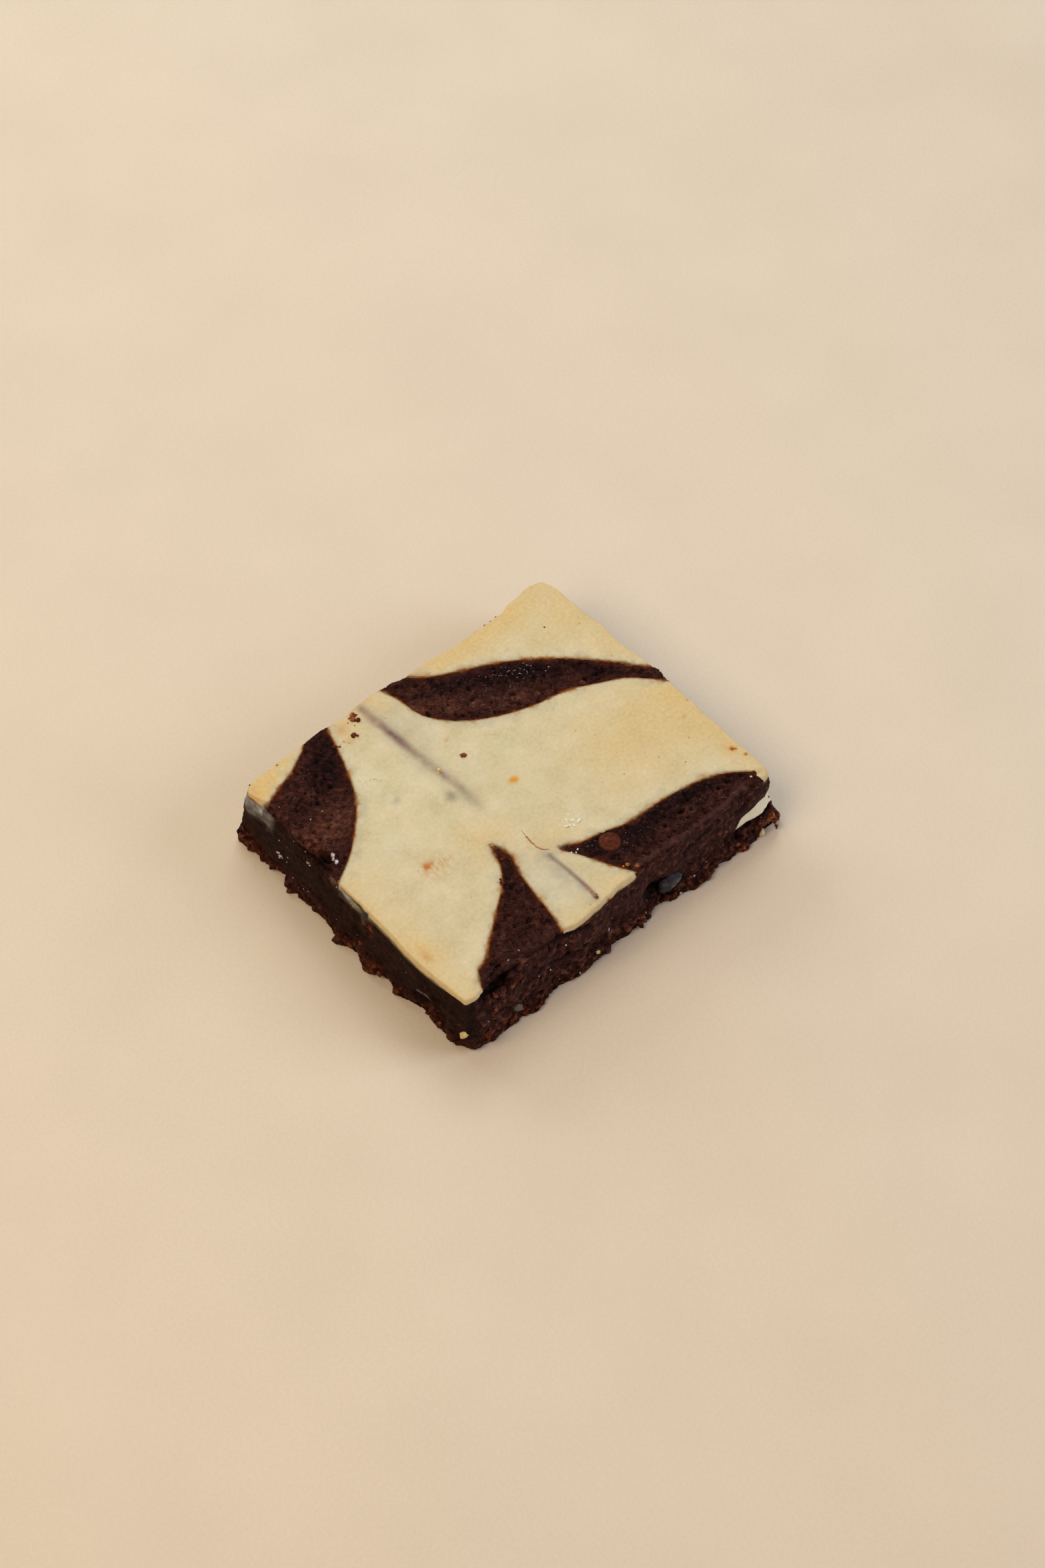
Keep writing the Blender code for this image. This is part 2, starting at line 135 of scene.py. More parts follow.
def surface_of(node, top_only=False):
    """The surface of a solid, or only its level top laid flat, to measure distances from."""
    mesh = frame["nodes"][node].data
    points = [vertex.co / mm - top_middle for vertex in mesh.vertices]
    faces = [tuple(face.vertices) for face in mesh.polygons]
    if top_only:
        faces = [
            tuple(face.vertices)
            for face in mesh.polygons
            if face.normal.z > 0.95 and face.center.z > 16.4 * mm
        ]
        points = [Vector((point.x, point.y, 0.0)) for point in points]
    return BVHTree.FromPolygons(points, faces)


def gap_to(surface, places, normals):
    """Distance from each place to a surface, and how squarely the skin faces it."""
    distances, facing = np.empty(len(places)), np.empty(len(places))
    for number, (place, normal) in enumerate(zip(places.tolist(), normals.tolist())):
        nearest, _, _, distance = surface.find_nearest(place)
        distances[number] = distance
        towards = (nearest - Vector(place)) / max(distance, 0.0001)
        facing[number] = towards.dot(Vector(normal))
    return distances, facing


def bank_distance(places):
    """Distance in plan from the bank of a swirl: above 0 in the cheesecake, below 0 in the swirl."""
    found = []
    for x, y, _ in places.tolist():
        point = (x, y, 0.0)
        found.append(swirl_tops.find_nearest(point)[3] - cream_tops.find_nearest(point)[3])
    return np.array(found)


def ease(values, start, end):
    """0 at start and 1 at end, eased between them."""
    share = np.clip((values - start) / (end - start), 0.0, 1.0)
    return share * share * (3 - 2 * share)


def blot(places, middle, reach):
    """1 at a place, fading all round it. None in place of a coordinate leaves that way open."""
    spread = np.zeros(len(places))
    for axis, (centre, half) in enumerate(zip(middle, reach)):
        if centre is not None:
            spread += ((places[:, axis] - centre) / half) ** 2
    return np.exp(-spread)


def top_blots(places, spots):
    """Sum of blots seen from above. A spot is x, y, the reach along each, and a strength."""
    total = np.zeros(len(places))
    for x, y, reach_x, reach_y, strength in spots:
        total += strength * blot(places, (x, y, None), (reach_x, reach_y, 1.0))
    return total


def side_blots(places, sides, spots):
    """Sum of blots on the sides. A spot is a side, x or y, z, the reach along each, and a strength."""
    total = np.zeros(len(places))
    for side, along, height, reach_along, reach_up, strength in spots:
        middle = (None, along, height) if side == "left" else (along, None, height)
        reach = (1.0, reach_along, reach_up) if side == "left" else (reach_along, 1.0, reach_up)
        total += sides[side] * strength * blot(places, middle, reach)
    return total


def line_gap(places, points, axes=(0, 1)):
    """Distance in plan, or in elevation, from a line of points, and the share of the line passed there."""
    nearest = np.full(len(places), 99.0)
    passed = np.zeros(len(places))
    flat = places[:, axes]
    for number, (start, end) in enumerate(zip(points, points[1:])):
        start, run = np.array(start), np.subtract(end, start)
        share = np.clip((flat - start) @ run / (run @ run), 0.0, 1.0)
        gap = np.linalg.norm(flat - start - share[:, None] * run, axis=1)
        passed = np.where(gap < nearest, (number + share) / (len(points) - 1), passed)
        nearest = np.minimum(gap, nearest)
    return nearest, passed


def outward(faces, directions, count):
    """For each point, the unit direction in which the given faces round it look."""
    sums = np.zeros((count, 3))
    for corner in range(3):
        np.add.at(sums, faces[:, corner], directions)
    return sums / np.maximum(np.linalg.norm(sums, axis=1, keepdims=True), 0.001)


top_height = 16.8
swirl_tops = surface_of("brownie", top_only=True)
cream_tops = surface_of("cheesecake_layer", top_only=True)

# The knife that parts the skin has the cheesecake's form, and stands out past the bar where it shows.
# The filler closes the thin gap between the two solids.
knife = merged_copy("cheesecake_layer", "knife")
filler = merged_copy("cheesecake_layer", "filler")
faces = np.array([tuple(face.vertices) for face in knife.data.polygons])
directions = np.array([tuple(face.normal) for face in knife.data.polygons])
centres = np.array([tuple(face.center) for face in knife.data.polygons]) / mm - np.array(top_middle)
gap, facing = gap_to(surface_of("brownie"), centres, directions)
joined = (gap < 0.75) & (facing > 0.3)
above = ~joined & (directions[:, 2] > 0.7)
beside = ~joined & ~above
points, _ = skin_places(knife)
closing = outward(faces[joined], directions[joined], len(points))
seam_filled, blade_reach = 0.45, 1.5
move_skin(filler, points + seam_filled * closing)
level_directions = directions * (1.0, 1.0, 0.0)
stand_out = outward(faces[beside], level_directions[beside], len(points))
stand_out += outward(faces[above], np.tile((0.0, 0.0, 1.0), (above.sum(), 1)), len(points))
cut_points = points + blade_reach * stand_out

# The tongue's cut end leans: along it, the height of its underside and of its top, before and after
in_tongue = (points[:, 0] > 29.5) & (points[:, 1] < -27.0) & (points[:, 2] < 12.6)
stations = (30.0, 31.2, 33.0, 35.0, 37.0, 39.4)
old_top = np.interp(points[:, 0], stations, (8.7, 9.6, 10.8, 11.5, 11.9, 11.95))
new_top = np.interp(points[:, 0], stations, (8.3, 9.1, 10.1, 10.8, 11.0, 10.4))
new_under = np.interp(points[:, 0], stations, (7.2, 6.9, 7.2, 7.8, 8.0, 7.5))
up = np.clip((points[:, 2] - 8.4) / (old_top - 8.4), 0.0, 1.0)
cut_points[:, 2] = np.where(in_tongue, new_under + up * (new_top - new_under), cut_points[:, 2])
move_skin(knife, cut_points)

# A torn arm of crumb stands off the foot at the right corner, from under the tongue down to the table.
# Its beads are x, y, z and radius, and are fused into the bar.
base = merged_copy("brownie", "brownie_base")
arm = (
    (36.8, -33.0, 4.4, 1.0), (38.0, -33.8, 4.9, 0.75), (39.1, -34.3, 5.3, 0.6), (39.6, -34.1, 6.3, 0.4),
    (39.4, -34.6, 4.9, 0.55), (39.6, -34.9, 3.8, 0.5), (39.8, -35.1, 2.7, 0.45), (40.0, -35.3, 1.7, 0.4),
    (40.2, -35.5, 0.9, 0.35),
)
for x, y, z, radius in arm:
    place = (Vector((x, y, z)) + top_middle) * mm
    bpy.ops.mesh.primitive_ico_sphere_add(subdivisions=3, radius=radius * mm, location=place)
    bpy.context.active_object.select_set(True)
    base.select_set(True)
    bpy.context.view_layer.objects.active = base
    bpy.ops.object.join()
filler.select_set(True)
base.select_set(True)
bpy.context.view_layer.objects.active = base
bpy.ops.object.join()
skin_step = 0.28 * mm
apply_modifier(base, "REMESH", mode="VOXEL", voxel_size=skin_step)

places, normals = skin_places(base)
level = places[:, 2].copy()
top = (normals[:, 2] > 0.6) & (level > 15.9)
under = (normals[:, 2] < -0.7) & (level < 0.4)
wall = ~top & ~under
bank = np.full(len(places), 0.0)
bank[top] = bank_distance(places[top])
creamy = top * ease(bank, -0.7, 0.9)
darker = top * (1 - ease(bank, -0.5, 0.1))
left = wall * ease(-places[:, 0], 37.4, 39.2)
foot = wall * np.clip(1 - level / 4.5, 0.0, 1.0)

# The crumb's own relief: uneven blocks, torn edges between them, flakes along the cut, and small pits
lumps, fine_lumps, torn, pitted, streaks, lively = (np.zeros(len(places)) for _ in range(6))
shown = wall | top
lumps[shown] = 0.35 - 1.1 * clumps(places[shown], 3.1) ** 2
small_lumps = 0.35 - 1.1 * clumps(places[shown] + 31.0, 1.5) ** 2
fine_lumps[shown] = 0.35 - 1.1 * clumps(places[shown] + 9.0, 0.95) ** 2
torn[shown] = grain(places[shown], 1.1, 3)
pitted[shown] = grain(places[shown] + 40.0, 0.75, 2)
streaks[shown] = grain(places[shown] + 70.0, np.array((5.0, 5.0, 0.8)), 3)
lively[shown] = ease(grain(places[shown] + 55.0, 4.5, 2), -0.3, 0.35)
lumps[shown] = lively[shown] * lumps[shown] + 0.55 * (1 - lively[shown]) * small_lumps

crags = np.zeros(len(places))
crags[shown] = np.tanh(2.5 * grain(places[shown] + 33.0, 2.8, 3))
rough = 1.0 - 0.75 * left * ease(level, 3.0, 7.0)
high = wall & (level > 13.0)
beside_cream = np.zeros(len(places))
beside_cream[high] = ease(bank_distance(places[high]), -1.2, 0.2) * ease(level[high], 13.2, 15.0)
rough *= 1.0 - 0.9 * beside_cream
front = wall & (places[:, 1] < -32.0)
tongue_gap, _ = line_gap(places, ((31.0, 7.9), (34.7, 9.1), (39.4, 10.6)), (0, 2))
rough *= 1.0 - 0.9 * front * ease(tongue_gap, 3.0, 1.5)
rough *= 1.0 - 0.55 * front * blot(places, (4.0, None, 9.5), (8.0, 1.0, 4.0))
rough *= 1.0 - 0.5 * front * ease(level, 6.0, 10.0) * ease(places[:, 0], 6.0, 14.0)
rough *= (0.45 + 0.75 * lively) * (1.0 - 0.2 * front)
out = wall * rough * (0.75 * lumps + 0.22 * fine_lumps)
out += wall * rough * (0.26 * torn + 0.18 * streaks)
broken = ease(grain(places + 61.0, 8.0, 2), -0.35, 0.35)
out += foot * ((0.15 + (0.5 + 0.6 * left) * broken) * crags + 0.35 * lively * lumps + 0.22 * torn)
out -= wall * rough * 1.4 * np.clip(pitted - 0.24, 0, 1)
out += wall * (1 - beside_cream) * 0.35 * grain(places + 12.0, 5.0, 2)
out += wall * (1 - beside_cream) * 0.08 * streaks

# Marks of the cut: side, place along it, height, half length, half height, outwards
marks = (
    ("left", 0.5, 16.4, 5.0, 1.2, -0.15),
    ("left", -4.3, 12.0, 0.8, 4.6, 0.50),
    ("left", -7.2, 1.8, 2.4, 1.8, 0.70),
    ("left", -11.8, 1.6, 1.2, 1.4, -0.50),
    ("left", -14.6, 2.2, 1.8, 1.8, 0.60),
    ("left", -19.2, 3.4, 1.6, 1.6, 0.45),
    ("left", -23.6, 6.0, 3.6, 2.0, -1.40),
    ("left", -29.8, 6.0, 1.8, 5.0, 0.35),
    ("left", 32.6, 3.0, 1.8, 2.0, 0.60),
    ("left", 27.5, 3.5, 1.6, 1.2, -0.50),
    ("left", 23.0, 2.6, 2.4, 1.8, 0.35),
    ("left", 7.5, 4.5, 2.0, 1.6, 0.30),
    ("front", -29.3, 12.8, 2.2, 0.8, 0.60),
    ("front", -33.4, 11.0, 2.0, 1.0, 0.45),
    ("front", -27.4, 4.7, 1.0, 0.9, 0.50),
    ("front", -25.2, 2.2, 1.2, 1.6, 0.55),
    ("front", -36.2, 3.9, 1.3, 1.4, 0.60),
    ("front", -31.0, 7.6, 1.8, 1.2, -0.60),
    ("front", -29.4, 1.5, 0.9, 0.9, 0.50),
    ("front", 7.6, 6.8, 2.2, 2.6, -1.30),
    ("front", 19.0, 8.6, 2.4, 0.8, -0.45),
    ("front", 27.0, 6.8, 1.4, 0.8, -0.55),
    ("front", 32.0, 15.6, 0.5, 0.5, -1.00),
    ("front", 35.6, 14.6, 1.0, 0.4, -0.80),
    ("front", 35.0, 8.0, 3.6, 0.9, 0.50),
    ("front", 39.2, 4.2, 1.8, 1.3, 0.60),
    ("front", 16.8, 9.4, 2.0, 2.0, -0.60),
    ("front", -17.0, 4.2, 2.2, 1.6, -0.60),
    ("front", -8.0, 8.6, 2.6, 1.4, 0.45),
    ("front", 24.6, 3.4, 2.0, 1.4, 0.50),
    ("front", -32.4, 13.6, 2.5, 1.1, -1.90),
)
near_wall = {"left": wall * (places[:, 0] < -36.5), "front": wall * (places[:, 1] < -30.0)}
for mark in marks:
    out += side_blots(places, near_wall, (mark,))

# Tears, and the lifted rims beside them: side, points along and up, half width, outwards
tears = (
    ("front", ((-35.8, 14.6), (-32.4, 15.6), (-28.2, 16.3)), 0.9, -2.0),
    ("front", ((-21.0, 16.1), (-16.0, 15.2), (-10.0, 13.4)), 0.5, -1.0),
    ("front", ((-21.5, 10.1), (-16.1, 8.9), (-11.0, 8.4)), 0.5, -0.8),
    ("front", ((-6.5, 11.5), (-1.0, 12.6), (3.5, 12.2)), 0.4, -0.5),
    ("front", ((16.0, 12.4), (21.0, 13.5), (26.0, 13.6)), 0.4, -0.5),
    ("front", ((30.2, 12.4), (33.8, 13.2)), 0.5, -0.8),
    ("front", ((31.0, 5.6), (34.7, 6.2), (39.0, 7.2)), 0.5, -1.3),
    ("left", ((-19.6, 8.4), (-22.6, 9.7), (-26.2, 10.3)), 0.5, 0.65),
    ("left", ((-20.6, 7.4), (-23.6, 8.6), (-26.6, 9.2)), 0.4, -0.6),
    ("left", ((16.0, 16.2), (8.5, 15.8)), 0.5, -0.9),
)
side_axes = {"left": (1, 2), "front": (0, 2)}
for side, points, half_width, outwards in tears:
    gap, _ = line_gap(places, points, side_axes[side])
    out += near_wall[side] * outwards * ease(gap + 0.25 * torn, 2 * half_width, 0.0)

# The arm of crumb keeps its own form
out *= 1.0 - 0.85 * blot(places, (39.6, -35.2, 3.6), (2.2, 1.3, 3.2))
places += normals * out[:, None]

# The top is level, and a swirl lies a little lower than the cheesecake, with a soft step between
height = np.minimum(places[:, 2], 16.6) + 0.2 * creamy * ease(level, 16.3, 16.6)
height += creamy * (0.07 * grain(places, 5.0, 2) + 0.02 * grain(places, 1.0))
height += darker * (0.10 * grain(places + 20.0, 5.0, 2) + 0.11 * torn)
height -= darker * 0.9 * np.clip(pitted - 0.22, 0, 1)

# Holes in the swirls' tops: x, y, reach along each, and depth, below 0 where a crumb stands up
holes = (
    (20.6, -27.6, 0.60, 0.60, 1.2),
    (22.3, -28.6, 0.40, 0.40, 0.7),
    (15.9, -28.2, 0.45, 0.50, 0.9),
    (29.9, -28.4, 0.50, 0.45, 0.9),
    (6.9, -27.1, 0.80, 0.60, 0.2),
    (-38.1, 10.3, 0.90, 1.60, 2.4),
    (-39.3, 8.4, 0.50, 1.00, 1.4),
    (-37.3, 13.7, 0.90, 0.35, 0.9),
    (-36.8, 12.4, 1.00, 1.00, -0.55),
    (-38.2, 15.1, 0.70, 1.40, -0.50),
    (-38.4, 12.6, 0.80, 0.60, -0.45),
    (-12.8, -14.5, 0.50, 0.80, -0.25),
    (3.2, 29.5, 0.50, 0.35, 0.5),
    (7.5, 27.2, 0.55, 0.35, 0.4),
)
for x, y, reach_x, reach_y, depth in holes:
    height -= top * depth * blot(places, (x, y, None), (reach_x, reach_y, 1.0)) ** 1.5
crack, _ = line_gap(places, ((-30.4, -30.2), (-28.6, -30.9), (-27.4, -31.0), (-26.0, -31.8), (-24.4, -31.7)))
height -= top * 0.7 * np.clip(1 - crack / 0.35, 0, 1)
places[:, 2] = np.where(top, height, np.maximum(places[:, 2], 0.0))
places[:, 2] += under * 0.25 * np.clip(grain(places, 2.4, 3), 0, 1)
move_skin(base, places)

# Relief shading: lighter where the crumb stands out and darker in its pits, painted light and shade in its
# colour
relief = wall * (0.9 * lumps + 0.6 * fine_lumps) + 0.6 * torn - 2.0 * np.clip(pitted - 0.2, 0, 1)
finder = KDTree(len(places))
for number, place in enumerate(places.tolist()):
    finder.insert(place, number)
finder.balance()


def skin_masks(piece):
    """Places of a parted piece's points, with what the whole skin knew about each."""
    found, _ = skin_places(piece)
    nearest = np.array([finder.find(place)[1] for place in found.tolist()])
    return found, relief[nearest], top[nearest], wall[nearest], left[nearest], level[nearest]


def parted(piece, operation):
    """Cuts the skin with the knife and keeps the body that holds the point nearest the middle of the top."""
    apply_modifier(piece, "BOOLEAN", operation=operation, solver="MANIFOLD", object=knife)
    bpy.ops.object.select_all(action="DESELECT")
    piece.select_set(True)
    bpy.ops.object.mode_set(mode="EDIT")
    bpy.ops.mesh.select_mode(type="VERT")
    bpy.ops.mesh.select_all(action="DESELECT")
    bpy.ops.object.mode_set(mode="OBJECT")
    middle, _ = skin_places(piece)
    start = int(np.argmin(np.abs(middle - (0.0, 0.0, top_height)).sum(axis=1)))
    piece.data.vertices[start].select = True
    bpy.ops.object.mode_set(mode="EDIT")
    bpy.ops.mesh.select_linked()
    bpy.ops.mesh.select_all(action="INVERT")
    bpy.ops.mesh.delete(type="VERT")
    bpy.ops.object.mode_set(mode="OBJECT")


cream = base.copy()
cream.data = base.data.copy()
cream.name = cream.data.name = "cheesecake_top"
bpy.context.scene.collection.objects.link(cream)
parted(base, "DIFFERENCE")
parted(cream, "INTERSECT")
bpy.data.objects.remove(knife)

# The brownie base: dense fudgy crumb with four swirls of the same batter drawn up through the
# cheesecake. It is dull purplish brown where torn, olive and smooth where smeared, red at the foot. Its
# colour also carries painted shade in hollows and pits, and painted highlights on lumps, rims and foot edges.
underneath = base.vertex_groups.new(name="underneath")
places, normals = skin_places(base)
underneath.add(np.flatnonzero((normals[:, 2] < -0.7) & (places[:, 2] < 0.4)).tolist(), 1.0, "REPLACE")
share_kept = 0.55
apply_modifier(base, "DECIMATE", ratio=share_kept, vertex_group="underneath", vertex_group_factor=10.0)
base.vertex_groups.clear()
bpy.ops.object.select_all(action="DESELECT")
base.select_set(True)
bpy.ops.object.mode_set(mode="EDIT")
bpy.ops.mesh.select_mode(type="EDGE")
bpy.ops.mesh.select_all(action="DESELECT")
bpy.ops.mesh.select_non_manifold(use_wire=True, use_boundary=True, use_multi_face=False, use_verts=False)
bpy.ops.mesh.delete(type="EDGE")
bpy.ops.mesh.select_all(action="SELECT")
bpy.ops.mesh.delete_loose()
bpy.ops.mesh.select_all(action="SELECT")
bpy.ops.mesh.fill_holes(sides=6)
bpy.ops.object.mode_set(mode="OBJECT")

places, relief_shading_here, on_top, on_wall, on_left, level_here = skin_masks(base)
bank = np.full(len(places), -4.0)
bank[on_top] = bank_distance(places[on_top])
foot = on_wall * ease(level_here, 5.0, 1.0)
on_front = on_wall * (1 - on_left) * ease(-places[:, 1], 27.0, 29.0)
sides = {"left": on_left, "front": on_front}
wet = top_blots(places, (
    (19.5, 19.5, 8.5, 3.6, 1.0),
    (8.0, 25.8, 5.0, 1.8, 0.3),
    (3.0, -21.6, 2.6, 1.4, 0.9),
    (8.0, -27.2, 2.6, 1.5, 0.9),
    (19.0, -25.6, 13.0, 3.0, 0.45),
))
# Painted highlight: violet-grey sheen along the swirls' front rims, by the side chip and up the front face
rim_line, _ = line_gap(places, ((5.0, -31.4), (9.4, -31.6), (18.8, -32.2), (26.2, -32.3), (33.7, -31.4)))
violet_sheen = (places[:, 2] > 14.5) * ease(rim_line + 0.5 * grain(places, 0.9, 3), 0.9, 0.0)
violet_sheen += on_top * top_blots(places, ((-22.0, -31.5, 8.0, 1.2, 0.4),))
violet_sheen += side_blots(places, sides, (("front", 4.0, 9.5, 8.0, 4.0, 0.35), ("front", 5.6, 6.4, 1.0, 1.5, 0.8)))
violet_sheen += 0.32 * on_front * ease(level_here, 4.0, 10.0)

# The swirls' tone: points along a streak, half width, strength
tones = (
    (((-18.0, 31.5), (-22.4, 28.0), (-26.0, 25.5)), 4.2, -1.5),
    (((-29.0, 15.5), (-36.5, 15.0)), 5.0, 1.3),
    (((4.8, 27.4), (16.4, 21.6), (28.0, 13.7), (33.8, 6.8)), 2.2, -0.9),
    (((-6.0, 29.5), (0.4, 24.8), (7.0, 20.3), (16.0, 14.8)), 2.8, 0.9),
    (((20.0, 11.5), (29.0, 7.5), (36.0, 3.0)), 1.6, 0.3),
    (((2.0, -23.0), (10.9, -25.0), (18.6, -24.6), (30.4, -26.0), (37.0, -27.5)), 3.2, -1.2),
    (((-15.0, -14.0), (-17.5, -21.0)), 2.5, -0.5),
    (((-38.8, 13.6), (-37.2, 12.4)), 1.4, 1.6),
)
tone = 0.35 * on_top * grain(places + 5.0, 3.5, 2)
# Painted light: the torn walls are lighter above their foot, most on the knobs of crumb and less towards the
# right
lit_walls = 1.4 * ease(relief_shading_here, 0.0, 0.35) - 0.2 * ease(places[:, 0], -5.0, 20.0)
tone += on_wall * (1 - on_left) * ease(level_here, 0.0, 4.0) * lit_walls
for points, half_width, strength in tones:
    gap, _ = line_gap(places, points)
    tone += on_top * strength * ease(gap + 0.8 * grain(places, 2.0, 2), 1.3 * half_width, 0.0)
# Painted shade: hollows, the cavity and pit under the lips, inward tears and open holes are painted near
# black
void_shade = side_blots(places, sides, (("front", 8.0, 6.6, 2.6, 3.0, 1.0), ("left", -23.6, 6.0, 3.8, 2.1, 1.5)))
void_shade += 1.4 * blot(places, (-38.3, 10.0, 15.4), (1.0, 1.8, 1.9))
void_shade += 1.8 * blot(places, (-32.2, -31.9, 14.0), (3.0, 1.9, 1.8))
for side, points, half_width, outwards in tears:
    if outwards < 0:
        gap, _ = line_gap(places, points, side_axes[side])
        void_shade += -0.8 * outwards * sides[side] * ease(gap, 2.2 * half_width, 0.3 * half_width)
for x, y, reach_x, reach_y, depth in holes[:4]:
    opening = blot(places, (x, y, None), (reach_x, reach_y, 1.0))
    void_shade += 1.3 * on_top * opening
    tone += 1.6 * on_top * (blot(places, (x, y, None), (2.0 * reach_x, 2.0 * reach_y, 1.0)) - opening)
# The foot is red crumb, redder and lighter where its blocks stand out, a painted highlight on their edges
red_crumb_and_lit_edges = foot * (0.35 + 0.65 * ease(relief_shading_here, -0.1, 0.3)) * (1 - 0.55 * on_left)
red_crumb_and_lit_edges += foot * side_blots(places, sides, (("left", -10.0, 2.0, 9.0, 3.0, 0.5),))
red_crumb_and_lit_edges += side_blots(places, sides, (
    ("front", -28.8, 13.0, 2.6, 1.2, 0.9),
    ("front", 11.8, 1.8, 2.6, 1.2, 0.5),
    ("left", 32.6, 2.0, 3.0, 3.5, 1.0),
    ("left", -5.6, 12.6, 1.6, 2.5, 0.8),
    ("left", 4.0, 15.4, 4.0, 0.9, 0.7),
))
red_crumb_and_lit_edges += on_top * top_blots(places, ((-37.4, 12.6, 1.6, 1.6, 0.5), (-0.4, 24.4, 2.6, 0.8, 0.8)))

# The near swirl's tip is so thin that it baked tan, and the knife cut the right swirl's tip off square
near_tip = blot(places, (-12.9, -7.8, 16.6), (1.5, 2.2, 1.6))
bank = np.where(near_tip > 0.4, np.clip(bank, 0.30, 0.55), bank + 0.6 * near_tip)
bank = np.where((places[:, 0] > 37.6) & (places[:, 1] < -28.0), np.minimum(bank, -1.5), bank)
# The arm and the far end of the left face get a lighter, redder colour through the same relief signal
on_arm = on_wall * blot(places, (39.7, -35.0, 3.8), (2.4, 1.2, 3.0))
red_crumb_and_lit_edges += 1.2 * on_arm
relief_shading_here = relief_shading_here + 1.2 * on_arm + side_blots(places, sides, (("left", 32.6, 2.0, 3.0, 3.5, 0.2),))
paint(base, "bank", np.clip(bank, -4.0, 4.0))
paint(base, "relief", relief_shading_here)
paint(base, "tone", np.clip(tone, -1, 1))

# Grey film of cheesecake that the knife wiped on past the two pockets, and one pale rim that it lifted
wiped = on_left * ease(places[:, 1], 23.2, 25.4) * ease(level_here + 0.8 * grain(places, 2.0, 2), 11.4, 13.6)
slant, _ = line_gap(places, ((6.0, 16.0), (1.0, 14.9), (-4.4, 13.2)), (1, 2))
wiped += 0.55 * on_left * ease(slant + 0.4 * grain(places, 1.5, 2), 1.3, 0.2)
slant, _ = line_gap(places, ((-21.0, 9.1), (-22.6, 9.9), (-24.8, 10.0)), (1, 2))
wiped += 1.4 * on_left * ease(slant + 0.2 * grain(places, 0.9, 2), 0.24, 0.05)
smear = on_left * ease(level_here + 1.2 * grain(places, 2.0, 2), 2.5, 6.5)
for name, values in (
    ("smear", smear), ("wet", on_top * wet), ("violet_sheen", violet_sheen), ("shadowed", void_shade), ("red_crumb_and_lit_edges", red_crumb_and_lit_edges),
    ("wiped", wiped),
):
    paint(base, name, np.clip(values, 0, 1))
base.data.shade_smooth()


def shade(red, green, blue):
    """A colour as seen on a screen, given as the linear values that a shader takes."""
    return (*((part / 255) ** 2.2 for part in (red, green, blue)), 1.0)


def put(tree, kind, settings=(), **inputs):
    """Adds a shader node. An input is a plain value, or the output of another node."""
    made = tree.nodes.new("ShaderNode" + kind)
    for name, value in dict(settings).items():
        setattr(made, name, value)
    for name, value in inputs.items():
        socket = made.inputs[int(name[1:])] if name[0] == "i" and name[1:].isdigit() else made.inputs[name]
        if isinstance(value, bpy.types.NodeSocket):
            tree.links.new(value, socket)
        else:
            socket.default_value = value
    return made


def calc(tree, operation, first, second=0.0, third=0.0):
    """Adds or multiplies values, or treats them otherwise."""
    return put(tree, "Math", {"operation": operation}, i0=first, i1=second, i2=third).outputs[0]


def blend(tree, share, first, second, kind="MIX"):
    """Mixes two colours."""
    settings = {"data_type": "RGBA", "blend_type": kind}
    return put(tree, "Mix", settings, i0=share, i6=first, i7=second).outputs[2]


def ramp(tree, value, stops):
    """Turns a value into a colour by stops of (place, colour)."""
    made = put(tree, "ValToRGB", Fac=value)
    elements = made.color_ramp.elements
    while len(elements) < len(stops):
        elements.new(1.0)
    for element, (place, colour) in zip(elements, stops):
        element.position = place
        element.color = colour
    return made.outputs[0]


def span(tree, value, low, high, start=0.0, end=1.0):
    """Stretches a range of values to another range, kept inside it."""
    made = put(tree, "MapRange", {"interpolation_type": "SMOOTHSTEP"}, Value=value)
    for number, limit in enumerate((low, high, start, end), start=1):
        made.inputs[number].default_value = limit
    return made.outputs[0]


def speckle(tree, size, depth=2.0, roughness=0.5, longer=(1.0, 1.0, 1.0), round_by=0.0):
    """Noise of one grain size in millimetres over the piece's own coordinates, longer along some ways."""
    here = put(tree, "TexCoord").outputs["Object"]
    scale = tuple(size * mm * part for part in longer)
    placed = put(
        tree, "Mapping", {"vector_type": "TEXTURE"}, Vector=here, Scale=scale, Rotation=(0.0, 0.0, round_by)
    )
    made = put(tree, "TexNoise", Vector=placed.outputs[0], Scale=1.0, Detail=depth, Roughness=roughness)
    return made.outputs["Fac"]


def cells(tree, size):
    """Cells of one size: distance from the middle of each, and a random value of its own."""
    here = put(tree, "TexCoord").outputs["Object"]
    placed = put(tree, "Mapping", Vector=here, Scale=(1 / size / mm,) * 3)
    made = put(tree, "TexVoronoi", Vector=placed.outputs[0], Scale=1.0)
    return made.outputs["Distance"], put(tree, "SeparateColor", Color=made.outputs["Color"]).outputs[0]


def painted(tree, name):
    """The number that was painted on the piece under that name."""
    return put(tree, "Attribute", {"attribute_name": name}).outputs["Fac"]


def new_material(name, roughness, shine=0.5):
    """A material with one plain surface shader."""
    made = bpy.data.materials.new(name)
    made.use_nodes = True
    surface = made.node_tree.nodes["Principled BSDF"]
    surface.inputs["Roughness"].default_value = roughness
    surface.inputs["Specular IOR Level"].default_value = shine
    return made, made.node_tree, surface


def coat(piece, material):
    """Gives a piece one material all over."""
    piece.data.materials.clear()
    piece.data.materials.append(material)
    piece.data.polygons.foreach_set("material_index", [0] * len(piece.data.polygons))


def join_up(tree, surface, colour, roughness, height, depth):
    """Feeds colour, roughness and a bump of that depth in millimetres to the surface."""
    tree.links.new(colour, surface.inputs["Base Color"])
    tree.links.new(roughness, surface.inputs["Roughness"])
    bump = put(tree, "Bump", Strength=1.0, Distance=depth * mm, Height=height)
    tree.links.new(bump.outputs[0], surface.inputs["Normal"])


